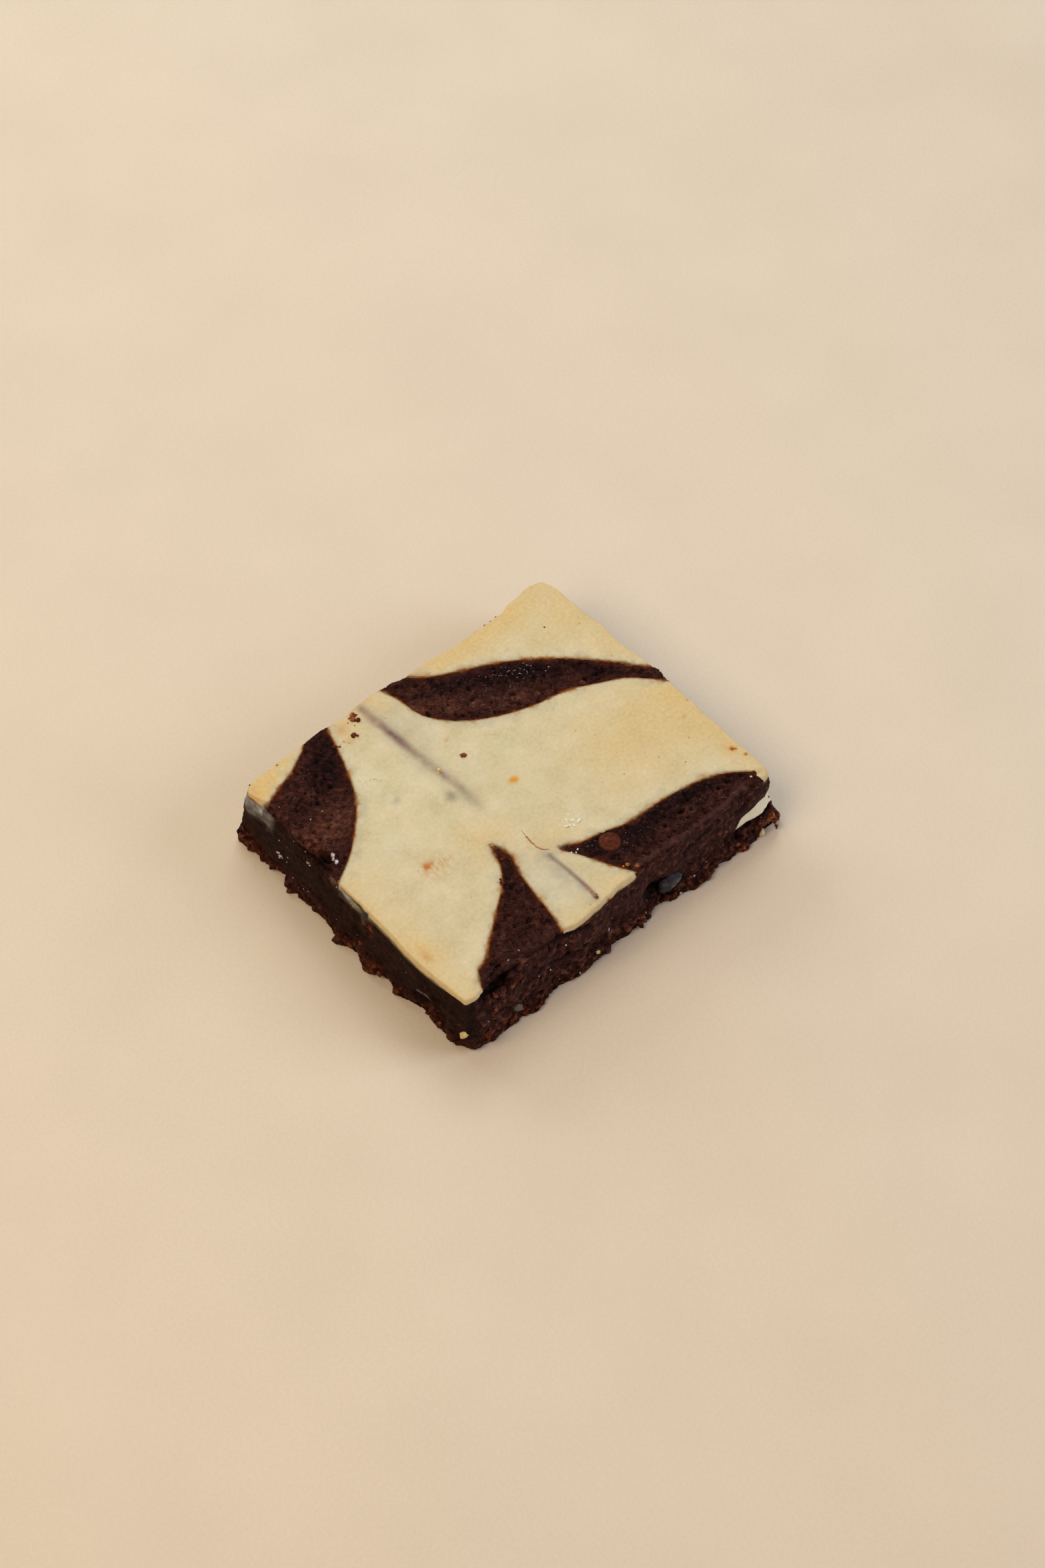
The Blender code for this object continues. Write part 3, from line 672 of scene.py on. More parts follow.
def new_group(name, inputs, outputs):
    """An empty node group with named sockets, and its input and output nodes."""
    tree = bpy.data.node_groups.new(name, "ShaderNodeTree")
    for direction, sockets in (("INPUT", inputs), ("OUTPUT", outputs)):
        for label, kind in sockets:
            tree.interface.new_socket(label, in_out=direction, socket_type="NodeSocket" + kind)
    return tree, tree.nodes.new("NodeGroupInput"), tree.nodes.new("NodeGroupOutput")


def bank_tint():
    """Group: the fringe where a swirl baked into the cheesecake, orange-brown and then greyish."""
    inputs = (("Bank", "Float"), ("Cream", "Color"), ("Crumb", "Color"))
    tree, given, result = new_group("bank_tint", inputs, (("Colour", "Color"),))
    wavy = calc(tree, "MULTIPLY_ADD", speckle(tree, 1.1, 2.0, 0.4), 0.6, -0.3)
    broad = calc(tree, "MULTIPLY_ADD", speckle(tree, 4.0), 2.0, -1.0)
    width = span(tree, speckle(tree, 3.4, 3.0, 0.6), 0.36, 0.64, 0.55, 1.7)
    line = calc(tree, "MULTIPLY_ADD", given.outputs["Bank"], width, wavy)
    browned = blend(tree, span(tree, speckle(tree, 2.2), 0.42, 0.58), shade(144, 84, 40), shade(126, 96, 66))
    halo_share = calc(tree, "MULTIPLY", span(tree, calc(tree, "ADD", line, broad), 2.6, 0.3), 0.6)
    colour = blend(tree, halo_share, given.outputs["Cream"], shade(184, 172, 140))
    for near, far, ink in (
        (0.25, 1.00, shade(186, 150, 100)),
        (0.02, 0.48, browned),
        (-0.40, 0.10, shade(72, 31, 15)),
        (-0.95, -0.35, given.outputs["Crumb"]),
    ):
        colour = blend(tree, span(tree, line, near, far), ink, colour)
    tree.links.new(colour, result.inputs["Colour"])
    return tree


def crumb_grain():
    """Group: the tone, pores and height of baked chocolate crumb, with painted light on its lumps and painted
    shade in its pits and pores.
    """
    inputs = (("Relief", "Float"), ("Tone", "Float"))
    outputs = (("Colour", "Color"), ("Height", "Float"), ("Glint", "Float"))
    tree, given, result = new_group("crumb_grain", inputs, outputs)
    coarse = speckle(tree, 1.4, 5.0, 0.65)
    fine = speckle(tree, 0.26, 4.0, 0.65)
    flaky = speckle(tree, 0.6, 4.0, 0.6, (2.4, 1.2, 0.6), turn)
    patches = speckle(tree, 3.2, 4.0, 0.6)
    tone = calc(tree, "MULTIPLY_ADD", coarse, 0.42, -0.35)
    tone = calc(tree, "MULTIPLY_ADD", patches, 0.25, tone)
    tone = calc(tree, "MULTIPLY_ADD", fine, 0.65, tone)
    tone = calc(tree, "MULTIPLY_ADD", flaky, 0.40, tone)
    # Painted light on the lumps and painted shade in the pits
    tone = calc(tree, "MULTIPLY_ADD", given.outputs["Relief"], 0.16, tone)
    tone = calc(tree, "MULTIPLY_ADD", given.outputs["Tone"], 0.13, tone)
    colour = ramp(tree, tone, (
        (0.22, shade(15, 6, 5)),
        (0.38, shade(36, 16, 12)),
        (0.52, shade(58, 31, 24)),
        (0.66, shade(80, 47, 37)),
        (0.88, shade(130, 82, 60)),
    ))
    distance, own = cells(tree, 0.42)
    glint = calc(tree, "MULTIPLY", span(tree, own, 0.965, 0.985), span(tree, distance, 0.30, 0.12))
    height = calc(tree, "MULTIPLY_ADD", fine, 0.6, calc(tree, "MULTIPLY", coarse, 0.8))
    # Pores are sunk in the bump and painted near black, painted shade in them
    pores = span(tree, speckle(tree, 0.42, 4.0, 0.65, (2.2, 0.9, 0.8), turn), 0.39, 0.31)
    height = calc(tree, "MULTIPLY_ADD", pores, -0.6, height)
    colour = blend(tree, calc(tree, "MULTIPLY", pores, 0.75), colour, shade(10, 4, 3))
    for name, value in (("Colour", colour), ("Height", height), ("Glint", glint)):
        tree.links.new(value, result.inputs[name])
    return tree


bank_group = bank_tint()
crumb_group = crumb_grain()
baked, tree, surface = new_material("baked_crumb", 0.7, 0.06)
surface.inputs["Coat Roughness"].default_value = 0.10
crumb = put(
    tree, "Group", {"node_tree": crumb_group}, Relief=painted(tree, "relief"), Tone=painted(tree, "tone")
)
colour = crumb.outputs["Colour"]
colour = blend(tree, calc(tree, "MULTIPLY", painted(tree, "wet"), 0.5), colour, shade(24, 9, 7))
# Painted highlight: the violet-grey sheen mixed in along the rims and on the front face
violet_sheen_colour = blend(tree, speckle(tree, 0.7, 4.0, 0.6), shade(50, 24, 22), shade(112, 76, 72))
colour = blend(tree, calc(tree, "MULTIPLY", painted(tree, "violet_sheen"), 0.55), colour, violet_sheen_colour)
smeared = ramp(tree, speckle(tree, 1.2, 6.0, 0.7, (0.7, 3.5, 0.8)), (
    (0.30, shade(12, 6, 4)),
    (0.46, shade(28, 16, 11)),
    (0.60, shade(44, 28, 20)),
    (0.78, shade(80, 58, 44)),
))
colour = blend(tree, calc(tree, "MULTIPLY", painted(tree, "smear"), 0.68), colour, smeared)
wipe = ramp(tree, speckle(tree, 0.9, 4.0, 0.6, (1.0, 3.0, 1.0)), (
    (0.35, shade(88, 80, 74)),
    (0.65, shade(138, 130, 122)),
))
colour = blend(tree, calc(tree, "MULTIPLY", painted(tree, "wiped"), 0.85), colour, wipe)
# Red of the foot, lighter with the relief: red crumb with a painted highlight on the edges that stand out
red = ramp(tree, calc(tree, "MULTIPLY_ADD", painted(tree, "relief"), 0.25, speckle(tree, 0.9, 5.0, 0.65)), (
    (0.34, shade(20, 6, 4)),
    (0.48, shade(66, 28, 15)),
    (0.60, shade(122, 60, 30)),
    (0.80, shade(186, 118, 74)),
))
patchy = span(tree, speckle(tree, 2.2, 3.0, 0.6), 0.40, 0.56)
red_and_lit_share = calc(tree, "MULTIPLY", painted(tree, "red_crumb_and_lit_edges"), calc(tree, "MULTIPLY_ADD", patchy, 0.6, 0.3))
colour = blend(tree, red_and_lit_share, colour, red)
# Painted shade: near black where the shadowed mask was painted
colour = blend(tree, calc(tree, "MULTIPLY", painted(tree, "shadowed"), 0.85), colour, shade(9, 4, 4))
fringed = put(
    tree, "Group", {"node_tree": bank_group},
    Bank=painted(tree, "bank"), Cream=shade(205, 187, 145), Crumb=colour,
)
glinting = calc(tree, "MULTIPLY", crumb.outputs["Glint"], 0.55)
colour = blend(tree, glinting, fringed.outputs[0], shade(160, 138, 130))
roughness = span(tree, crumb.outputs["Glint"], 0.0, 1.0, 0.66, 0.2)
sparkling = calc(tree, "MULTIPLY", painted(tree, "wet"), speckle(tree, 0.42, 2.0, 0.5))
height = calc(tree, "MULTIPLY_ADD", sparkling, 1.6, crumb.outputs["Height"])
join_up(tree, surface, colour, roughness, height, 0.30)
wet_here = calc(tree, "MULTIPLY", painted(tree, "wet"), span(tree, speckle(tree, 0.5, 3.0, 0.6), 0.60, 0.68))
tree.links.new(wet_here, surface.inputs["Coat Weight"])
coat(base, baked)
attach(base, "root")
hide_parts("brownie")

# The cheesecake: a thin layer of cream cheese batter, poured on and baked till just set. Its top is
# satin smooth, greyer beside the swirls and golden at the cut edges. The knife dragged dark crumb over
# most of its sides, so they show as a pale line, as grey film in two pockets, and as one clean tongue.
places, relief_shading_here, on_top, on_wall, on_left, level_here = skin_masks(cream)
torn_here = grain(places, 1.1, 3)
bank = bank_distance(places)
bank = np.where((places[:, 0] > 37.2) & (places[:, 1] < -25.5), np.maximum(bank, 1.8), bank)
bank += 0.5 * blot(places, (-12.9, -7.8, None), (1.5, 2.2, 1.0))
depth = top_height - level_here
on_front = on_wall * ease(-places[:, 1], 30.0, 32.0)
pocket = on_left * ease(blot(places, (None, 33.0, None), (1.0, 9.0, 1.0)), 0.25, 0.55)
pocket += on_left * blot(places, (None, 0.8, None), (1.0, 3.6, 1.0))
on_tongue = on_wall * (places[:, 0] > 27.0) * (places[:, 1] < -12.0) * (level_here < 14.2)
crossing = 0.35 * grain(places, np.array((2.5, 2.5, 0.9)), 2)
cover = on_wall * ease(depth + crossing, 0.6, 2.3) * (1 - 0.9 * pocket)
cover *= np.where((on_left + on_front > 0.1) | (places[:, 1] < -26.0), 1.0, 0.55)
film = on_wall * pocket * ease(depth + 0.4 * crossing, 0.3, 0.8)

# In the second pocket the film is a streak that slants down, and crumb covers the rest
slant, _ = line_gap(places, ((5.2, 16.4), (1.0, 15.5), (-3.2, 14.1)), (1, 2))
in_dark = on_wall * (pocket > 0.05) * (places[:, 1] < 15.0) * ease(depth, 0.35, 0.8)
cover = np.maximum(cover, in_dark * ease(slant + 0.5 * crossing, 0.45, 1.2))
edge = BVHTree.FromPolygons(
    [vertex.co / mm - top_middle for vertex in frame["nodes"]["cheesecake_layer"].data.vertices],
    [
        tuple(face.vertices)
        for face, side in zip(frame["nodes"]["cheesecake_layer"].data.polygons, beside)
        if side and face.center.z > 14.5 * mm
    ],
)
from_edge = np.array([edge.find_nearest(place)[3] for place in places.tolist()])
gold = 0.14 + 0.34 * ease(from_edge, 9.0, 0.8)
gold += top_blots(places, (
    (28.0, -9.0, 16.0, 12.0, 0.55), (34.0, 26.0, 10.0, 10.0, 0.30), (-28.0, -18.0, 12.0, 12.0, 0.08),
    (-38.0, 31.0, 7.0, 6.0, 0.80), (14.0, 33.0, 16.0, 5.0, 0.45), (-38.5, -19.0, 2.5, 3.5, 0.35),
    (-8.0, -24.0, 7.0, 9.0, -0.30),
))
gold += 0.12 * grain(places, 6.0, 3)
gold *= ease(bank, -0.5, 2.0)

# Dark batter that the skewer drew across the top, and the grey haze beside it
drag_line = ((-9.8, 34.0), (-9.5, 28.0), (-9.2, 22.0), (-8.9, 16.0), (-8.5, 10.6), (-7.8, 5.4), (-8.0, -2.5))
drag, along = line_gap(places, drag_line)
drag += 0.18 * grain(places, 4.0, 2)
fading = ease(along, 1.05, 0.74)
streak = ease(drag, 1.6, 0.0) * fading * (0.44 + 0.32 * blot(places, (-9.3, 26.0, None), (3.0, 9.0, 1.0)))
streak += 0.20 * fading * ease(drag, 1.0, 0.2) * grain(places, 1.6, 3)
hazy = 0.40 * ease(drag, 3.6, 0.3) * fading
low_line = ((-5.7, -18.2), (-5.6, -20.9), (-5.5, -23.6), (-5.4, -26.5), (-5.4, -29.3), (-5.7, -31.9))
drag, along = line_gap(places, low_line)
drag += 0.15 * grain(places, 3.0, 2)
streak += ease(drag, 0.70, 0.0) * (0.45 + 0.45 * along)
hazy += 0.42 * ease(drag, 3.8, 0.2) * ease(-places[:, 0], 4.9, 5.7) + 0.25 * ease(drag, 1.6, 0.2)
hazy += top_blots(places, (
    (-4.6, -18.2, 2.4, 1.4, 0.35), (-5.0, 24.0, 4.0, 7.0, 0.3), (-9.0, -22.0, 4.0, 9.0, 0.25),
))
hazy += ease(bank, 3.0, 0.4) * top_blots(places, ((8.0, 16.0, 12.0, 8.0, 0.35),))
hazy *= 0.8 + 0.5 * grain(places, 1.6, 3)
ragged = torn_here[:, None]
smudge = top_blots(places + 0.5 * ragged, ((-10.5, 5.0, 1.0, 1.4, 1.0), (-19.4, 11.0, 0.8, 0.8, 0.55)))
smudge += top_blots(places, ((-8.2, 2.4, 1.2, 3.2, 0.45),))
patchy = ease(grain(places, np.array((0.5, 1.6, 1.0)), 3), -0.35, 0.45)
stain = top_blots(places + 0.3 * ragged, ((-24.9, -4.6, 0.9, 0.8, 1.1),))
stain += patchy * top_blots(places, ((-24.4, -6.0, 3.1, 2.3, 0.55), (-21.3, -5.8, 1.6, 1.4, 0.30)))
stain += top_blots(places, (
    (-2.2, 15.8, 0.5, 0.35, 0.5), (-16.2, 31.6, 1.6, 1.3, 0.45), (-16.4, 28.4, 1.2, 0.9, 0.35),
    (38.4, -23.4, 0.5, 0.45, 0.9), (39.5, -26.2, 0.4, 0.35, 0.9), (-39.0, -20.5, 0.8, 1.3, 0.45),
    (-38.6, 31.5, 1.0, 1.6, 0.25), (36.8, -11.3, 0.5, 0.3, 0.6),
))
amber = top_blots(places + 0.35 * ragged, ((1.2, -0.4, 0.95, 0.75, 1.6), (38.4, -23.2, 1.9, 1.6, 0.34)))
hair_points = ((-21.8, 19.6), (-20.4, 18.2), (-19.6, 18.0), (-18.4, 16.4))
hairline, _ = line_gap(places + 0.5 * torn_here[:, None], hair_points)
crack = on_top * ease(hairline, 0.16, 0.02)
paint(cream, "bank", np.clip(bank, -4.0, 4.0) * on_top + 4.0 * ~on_top)
paint(cream, "depth", depth * on_wall)
for name, values in (
    ("cover", cover * (1 - on_tongue)), ("film", film), ("gold", gold), ("streak", streak), ("hazy", hazy),
    ("stain", stain), ("amber", amber), ("hairline", crack), ("smudge", 0.7 * smudge),
    ("rim", ease(from_edge + 0.3 * torn_here, 1.3, 0.0)), ("tongue", on_tongue * 1.0),
):
    paint(cream, name, np.clip(values, 0, 1))
cream.data.shade_smooth()

baked_cream, tree, surface = new_material("baked_cream", 0.45, 0.3)
broad = speckle(tree, 6.0, 4.0, 0.6)
mottle = speckle(tree, 0.8, 6.0, 0.72)
body = ramp(tree, calc(tree, "MULTIPLY_ADD", broad, 0.55, calc(tree, "MULTIPLY", mottle, 0.45)), (
    (0.36, shade(197, 181, 138)),
    (0.46, shade(208, 193, 153)),
    (0.56, shade(216, 201, 163)),
    (0.68, shade(225, 211, 177)),
))
golden = ramp(tree, mottle, ((0.35, shade(208, 170, 100)), (0.65, shade(224, 190, 126))))
body = blend(tree, painted(tree, "gold"), body, golden)
clean = blend(tree, speckle(tree, 0.7, 4.0, 0.6, (1.0, 1.0, 2.5)), shade(224, 210, 172), shade(248, 238, 212))
body = blend(tree, calc(tree, "MULTIPLY", painted(tree, "tongue"), 0.9), body, clean)
body = blend(tree, painted(tree, "hazy"), body, shade(156, 144, 126))
body = blend(tree, painted(tree, "streak"), body, shade(110, 68, 60))
body = blend(tree, painted(tree, "smudge"), body, shade(122, 116, 96))
body = blend(tree, painted(tree, "stain"), body, shade(190, 112, 30))
body = blend(tree, painted(tree, "amber"), body, shade(212, 148, 12))
body = blend(tree, calc(tree, "MULTIPLY", painted(tree, "hairline"), 0.35), body, shade(120, 96, 62))
for size, rarest, reach, ink in (
    (1.3, 0.955, 0.14, shade(150, 104, 56)),
    (2.6, 0.94, 0.10, shade(120, 74, 40)),
    (1.7, 0.95, 0.22, shade(176, 164, 112)),
):
    distance, own = cells(tree, size)
    picked = span(tree, own, rarest, rarest + 0.02)
    dot = calc(tree, "MULTIPLY", picked, span(tree, distance, reach, reach * 0.4))
    body = blend(tree, calc(tree, "MULTIPLY", dot, 0.55), body, ink)
rim = blend(tree, speckle(tree, 1.6, 2.0), shade(200, 158, 92), shade(226, 200, 146))
body = blend(tree, calc(tree, "MULTIPLY", painted(tree, "rim"), 0.45), body, rim)
# The film grows darker lower down
darker_below = calc(tree, "MULTIPLY", span(tree, painted(tree, "depth"), 1.8, 4.2), -0.30)
clouded = calc(tree, "ADD", darker_below, speckle(tree, 0.9, 5.0, 0.65, (1.0, 3.0, 1.0)))
film = ramp(tree, clouded, (
    (0.02, shade(30, 17, 13)),
    (0.22, shade(62, 52, 48)),
    (0.42, shade(112, 108, 108)),
    (0.52, shade(138, 134, 132)),
    (0.66, shade(186, 182, 178)),
))
crust = span(tree, painted(tree, "depth"), 0.75, 1.20)
film = blend(tree, crust, shade(120, 74, 40), film)
body = blend(tree, painted(tree, "film"), body, film)
smeared = ramp(tree, speckle(tree, 1.0, 4.0, 0.6), ((0.35, shade(26, 15, 12)), (0.65, shade(62, 42, 34))))
fade = blend(tree, span(tree, painted(tree, "cover"), 0.0, 0.5), body, shade(128, 112, 84))
body = blend(tree, span(tree, painted(tree, "cover"), 0.35, 0.95), fade, smeared)
fringed = put(
    tree, "Group", {"node_tree": bank_group},
    Bank=painted(tree, "bank"), Cream=body, Crumb=shade(52, 26, 20),
)
height = calc(tree, "MULTIPLY_ADD", speckle(tree, 0.2), 0.4, mottle)
height = calc(tree, "MULTIPLY_ADD", painted(tree, "hairline"), -1.0, height)
roughness = span(tree, mottle, 0.3, 0.7, 0.40, 0.58)
join_up(tree, surface, fringed.outputs[0], roughness, height, 0.06)
surface.inputs["Subsurface Weight"].default_value = 0.12
surface.inputs["Subsurface Radius"].default_value = (1.0, 0.6, 0.3)
surface.inputs["Subsurface Scale"].default_value = 1.2 * mm
coat(cream, baked_cream)
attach(cream, "root")
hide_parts("cheesecake_layer")

# A chocolate chip that melted into the right swirl: a low warm brown disc with a ring round its middle,
# level with the batter about it.
def turned(name, profile, centre, rings=40, segments=72):
    """A round body turned from a profile of (radius, height) that runs from its top to its bottom."""
    bpy.ops.object.select_all(action="DESELECT")
    bpy.ops.mesh.primitive_uv_sphere_add(segments=segments, ring_count=rings, radius=1.0)
    piece = bpy.context.active_object
    piece.name = piece.data.name = name
    radii, heights = np.array(profile).T
    steps = np.linspace(0.0, 1.0, len(radii))
    for vertex in piece.data.vertices:
        share = math.acos(max(-1.0, min(1.0, vertex.co.z))) / math.pi
        round_way = math.atan2(vertex.co.y, vertex.co.x)
        radius, height = np.interp(share, steps, radii), np.interp(share, steps, heights)
        vertex.co = Vector((radius * math.cos(round_way), radius * math.sin(round_way), height))
        vertex.co = (vertex.co + centre + top_middle) * mm
    piece.data.update()
    piece.data.shade_smooth()
    return piece


chip_profile = (
    (0.0, 0.08), (0.5, 0.08), (0.9, 0.06), (1.25, 0.02), (1.45, -0.02), (1.60, 0.01), (1.80, 0.03),
    (2.05, 0.02), (2.25, -0.03), (2.40, -0.12), (2.48, -0.4), (2.48, -1.0), (2.4, -1.5), (2.1, -1.8),
    (1.4, -1.9), (0.7, -1.92), (0.0, -1.92),
)
melted = turned("melted_chip_top", chip_profile, Vector((5.3, -23.7, 16.55)))
places, normals = skin_places(melted)
move_skin(melted, places + normals * (0.05 * grain(places, 1.1, 2))[:, None])
melted_chocolate, tree, surface = new_material("melted_chocolate", 0.42, 0.08)
from_middle, _ = line_gap(places, ((5.3, -23.7), (5.31, -23.7)))
edge_of_ring = from_middle + 0.25 * grain(places, 1.3, 3)
ring = np.maximum(0.30 * ease(np.abs(edge_of_ring - 1.45), 0.40, 0.0), ease(edge_of_ring, 1.65, 2.25))
paint(melted, "ring", ring)
warm = ramp(tree, speckle(tree, 0.7, 5.0, 0.65), (
    (0.34, shade(62, 25, 10)),
    (0.50, shade(86, 38, 18)),
    (0.68, shade(110, 56, 30)),
))
warm = blend(tree, calc(tree, "MULTIPLY", painted(tree, "ring"), 0.8), warm, shade(58, 25, 16))
roughness = span(tree, speckle(tree, 0.5), 0.3, 0.7, 0.34, 0.55)
join_up(tree, surface, warm, roughness, speckle(tree, 0.4, 3.0), 0.08)
coat(melted, melted_chocolate)
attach(melted, "root")
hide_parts("melted_chip")

# A whole chocolate chip that the knife bared in the front: a drop lying on its side, its tip in the
# crumb. Its round end has a blue-grey bloom of fat, and the rest is nearly black.
bpy.ops.object.select_all(action="DESELECT")
bpy.ops.mesh.primitive_uv_sphere_add(segments=72, ring_count=48, radius=1.0)
drop = bpy.context.active_object
drop.name = drop.data.name = "side_chip_drop"
drop.rotation_euler = (0.0, -0.35, 0.0)
drop.scale = (3.05, 1.35, 2.60)
bpy.ops.object.transform_apply(location=False, rotation=True, scale=True)
for vertex in drop.data.vertices:
    vertex.co = (vertex.co + Vector((12.8, -33.2, 6.2)) + top_middle) * mm
drop.data.update()
places, normals = skin_places(drop)
hollow = blot(places, (11.6, None, 5.6), (1.0, 1.0, 0.9))
outwards = 0.16 * grain(places, 1.3, 3) + 0.08 * grain(places, 0.45, 2)
outwards -= 0.45 * hollow * (places[:, 1] < -33.2)
move_skin(drop, places + normals * outwards[:, None])
bloomed, tree, surface = new_material("bloomed_chocolate", 0.55, 0.3)
bloom = 1.3 * blot(places + 0.5 * grain(places, 1.4, 3)[:, None], (13.6, None, 5.6), (1.5, 1.0, 1.5))
bloom += 0.6 * blot(places, (10.6, None, 7.4), (0.7, 1.0, 0.6))
paint(drop, "bloom", np.clip(bloom * (0.8 + 0.5 * grain(places, 0.7, 3)), 0, 1))
grey = ramp(tree, speckle(tree, 0.8, 5.0, 0.65), (
    (0.34, shade(48, 46, 52)),
    (0.50, shade(80, 80, 84)),
    (0.68, shade(126, 126, 124)),
))
dark = ramp(tree, speckle(tree, 0.6, 4.0, 0.6), ((0.40, shade(14, 8, 9)), (0.66, shade(50, 40, 52))))
colour = blend(tree, painted(tree, "bloom"), dark, grey)
roughness = span(tree, speckle(tree, 0.4), 0.3, 0.7, 0.40, 0.7)
join_up(tree, surface, colour, roughness, speckle(tree, 0.35, 4.0, 0.6), 0.14)
drop.data.shade_smooth()
coat(drop, bloomed)
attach(drop, "root")
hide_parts("side_chip")

# Loose brownie crumbs: bits of the same crumb, torn off by the knife, on the top and in the torn faces.
skins = []
for skin in (base, cream):
    corners = [vertex.co for vertex in skin.data.vertices]
    skins.append(BVHTree.FromPolygons(corners, [tuple(face.vertices) for face in skin.data.polygons]))
drawn = np.random.default_rng(17)


def landed(place):
    """The nearest place on the finished skins to a place in millimetres, and the way out there."""
    found = [skin.find_nearest((Vector(place) + top_middle) * mm) for skin in skins]
    nearest = min(found, key=lambda hit: hit[3])
    return nearest[0], nearest[1]


def model_crumb(name, subdivisions, roughness, flats):
    """One uneven crumb, a millimetre across, with some flat broken sides."""
    bpy.ops.object.select_all(action="DESELECT")
    bpy.ops.mesh.primitive_ico_sphere_add(subdivisions=subdivisions, radius=0.5 * mm)
    piece = bpy.context.active_object
    piece.name = piece.data.name = name
    sides = [Vector(side).normalized() for side in drawn.normal(size=(flats, 3))]
    for vertex in piece.data.vertices:
        place = vertex.co / mm
        for side in sides:
            over = place.dot(side) - 0.34
            if over > 0:
                place -= side * over
        place += place.normalized() * roughness * noise.fractal(place * 3.0 + sides[0] * 9.0, 1.0, 2.0, 2)
        vertex.co = place * mm
    piece.data.update()
    return piece


def strewn(model, spots, sunk, flat=False):
    """Copies of a model set on the skins at (x, y, z, length, width, share sunk), joined into one piece."""
    copies = []
    for x, y, z, length, width, *own in spots:
        place, out_there = landed((x, y, z))
        copy = model.copy()
        copy.data = model.data.copy()
        bpy.context.scene.collection.objects.link(copy)
        copy.rotation_mode = "QUATERNION"
        ways = drawn.normal(size=4) * ((1.0, 0.1, 0.1, 1.0) if flat else (1.0, 1.0, 1.0, 1.0))
        copy.rotation_quaternion = Vector(ways).normalized()
        copy.scale = (length, width, 0.5 * width if flat else 0.5 * (length + width))
        copy.location = place + out_there * (0.5 - (own or (sunk,))[0]) * min(length, width) * mm
        copies.append(copy)
    name = model.name
    bpy.data.objects.remove(model)
    bpy.ops.object.select_all(action="DESELECT")
    for copy in copies:
        copy.select_set(True)
    bpy.context.view_layer.objects.active = copies[0]
    bpy.ops.object.join()
    bpy.ops.object.transform_apply(location=True, rotation=True, scale=True)
    copies[0].name = copies[0].data.name = name
    return copies[0]


def scattered(count, low, high, smallest, largest, sides=((-1, 0), (0, -1), (1, 0), (0, 1))):
    """Random spots on the bar's sides, between two heights."""
    spots = []
    for number in range(count):
        side_x, side_y = sides[int(drawn.integers(len(sides)))]
        along = drawn.uniform(-1.0, 1.0)
        x = 41.0 * side_x if side_x else 39.5 * along
        y = 34.2 * side_y if side_y else 32.8 * along
        z = low + (high - low) * drawn.random() ** 1.5
        size = smallest + (largest - smallest) * drawn.random() ** 2
        spots.append((x, y, z, size, size * drawn.uniform(0.55, 0.9), 0.62))
    return spots


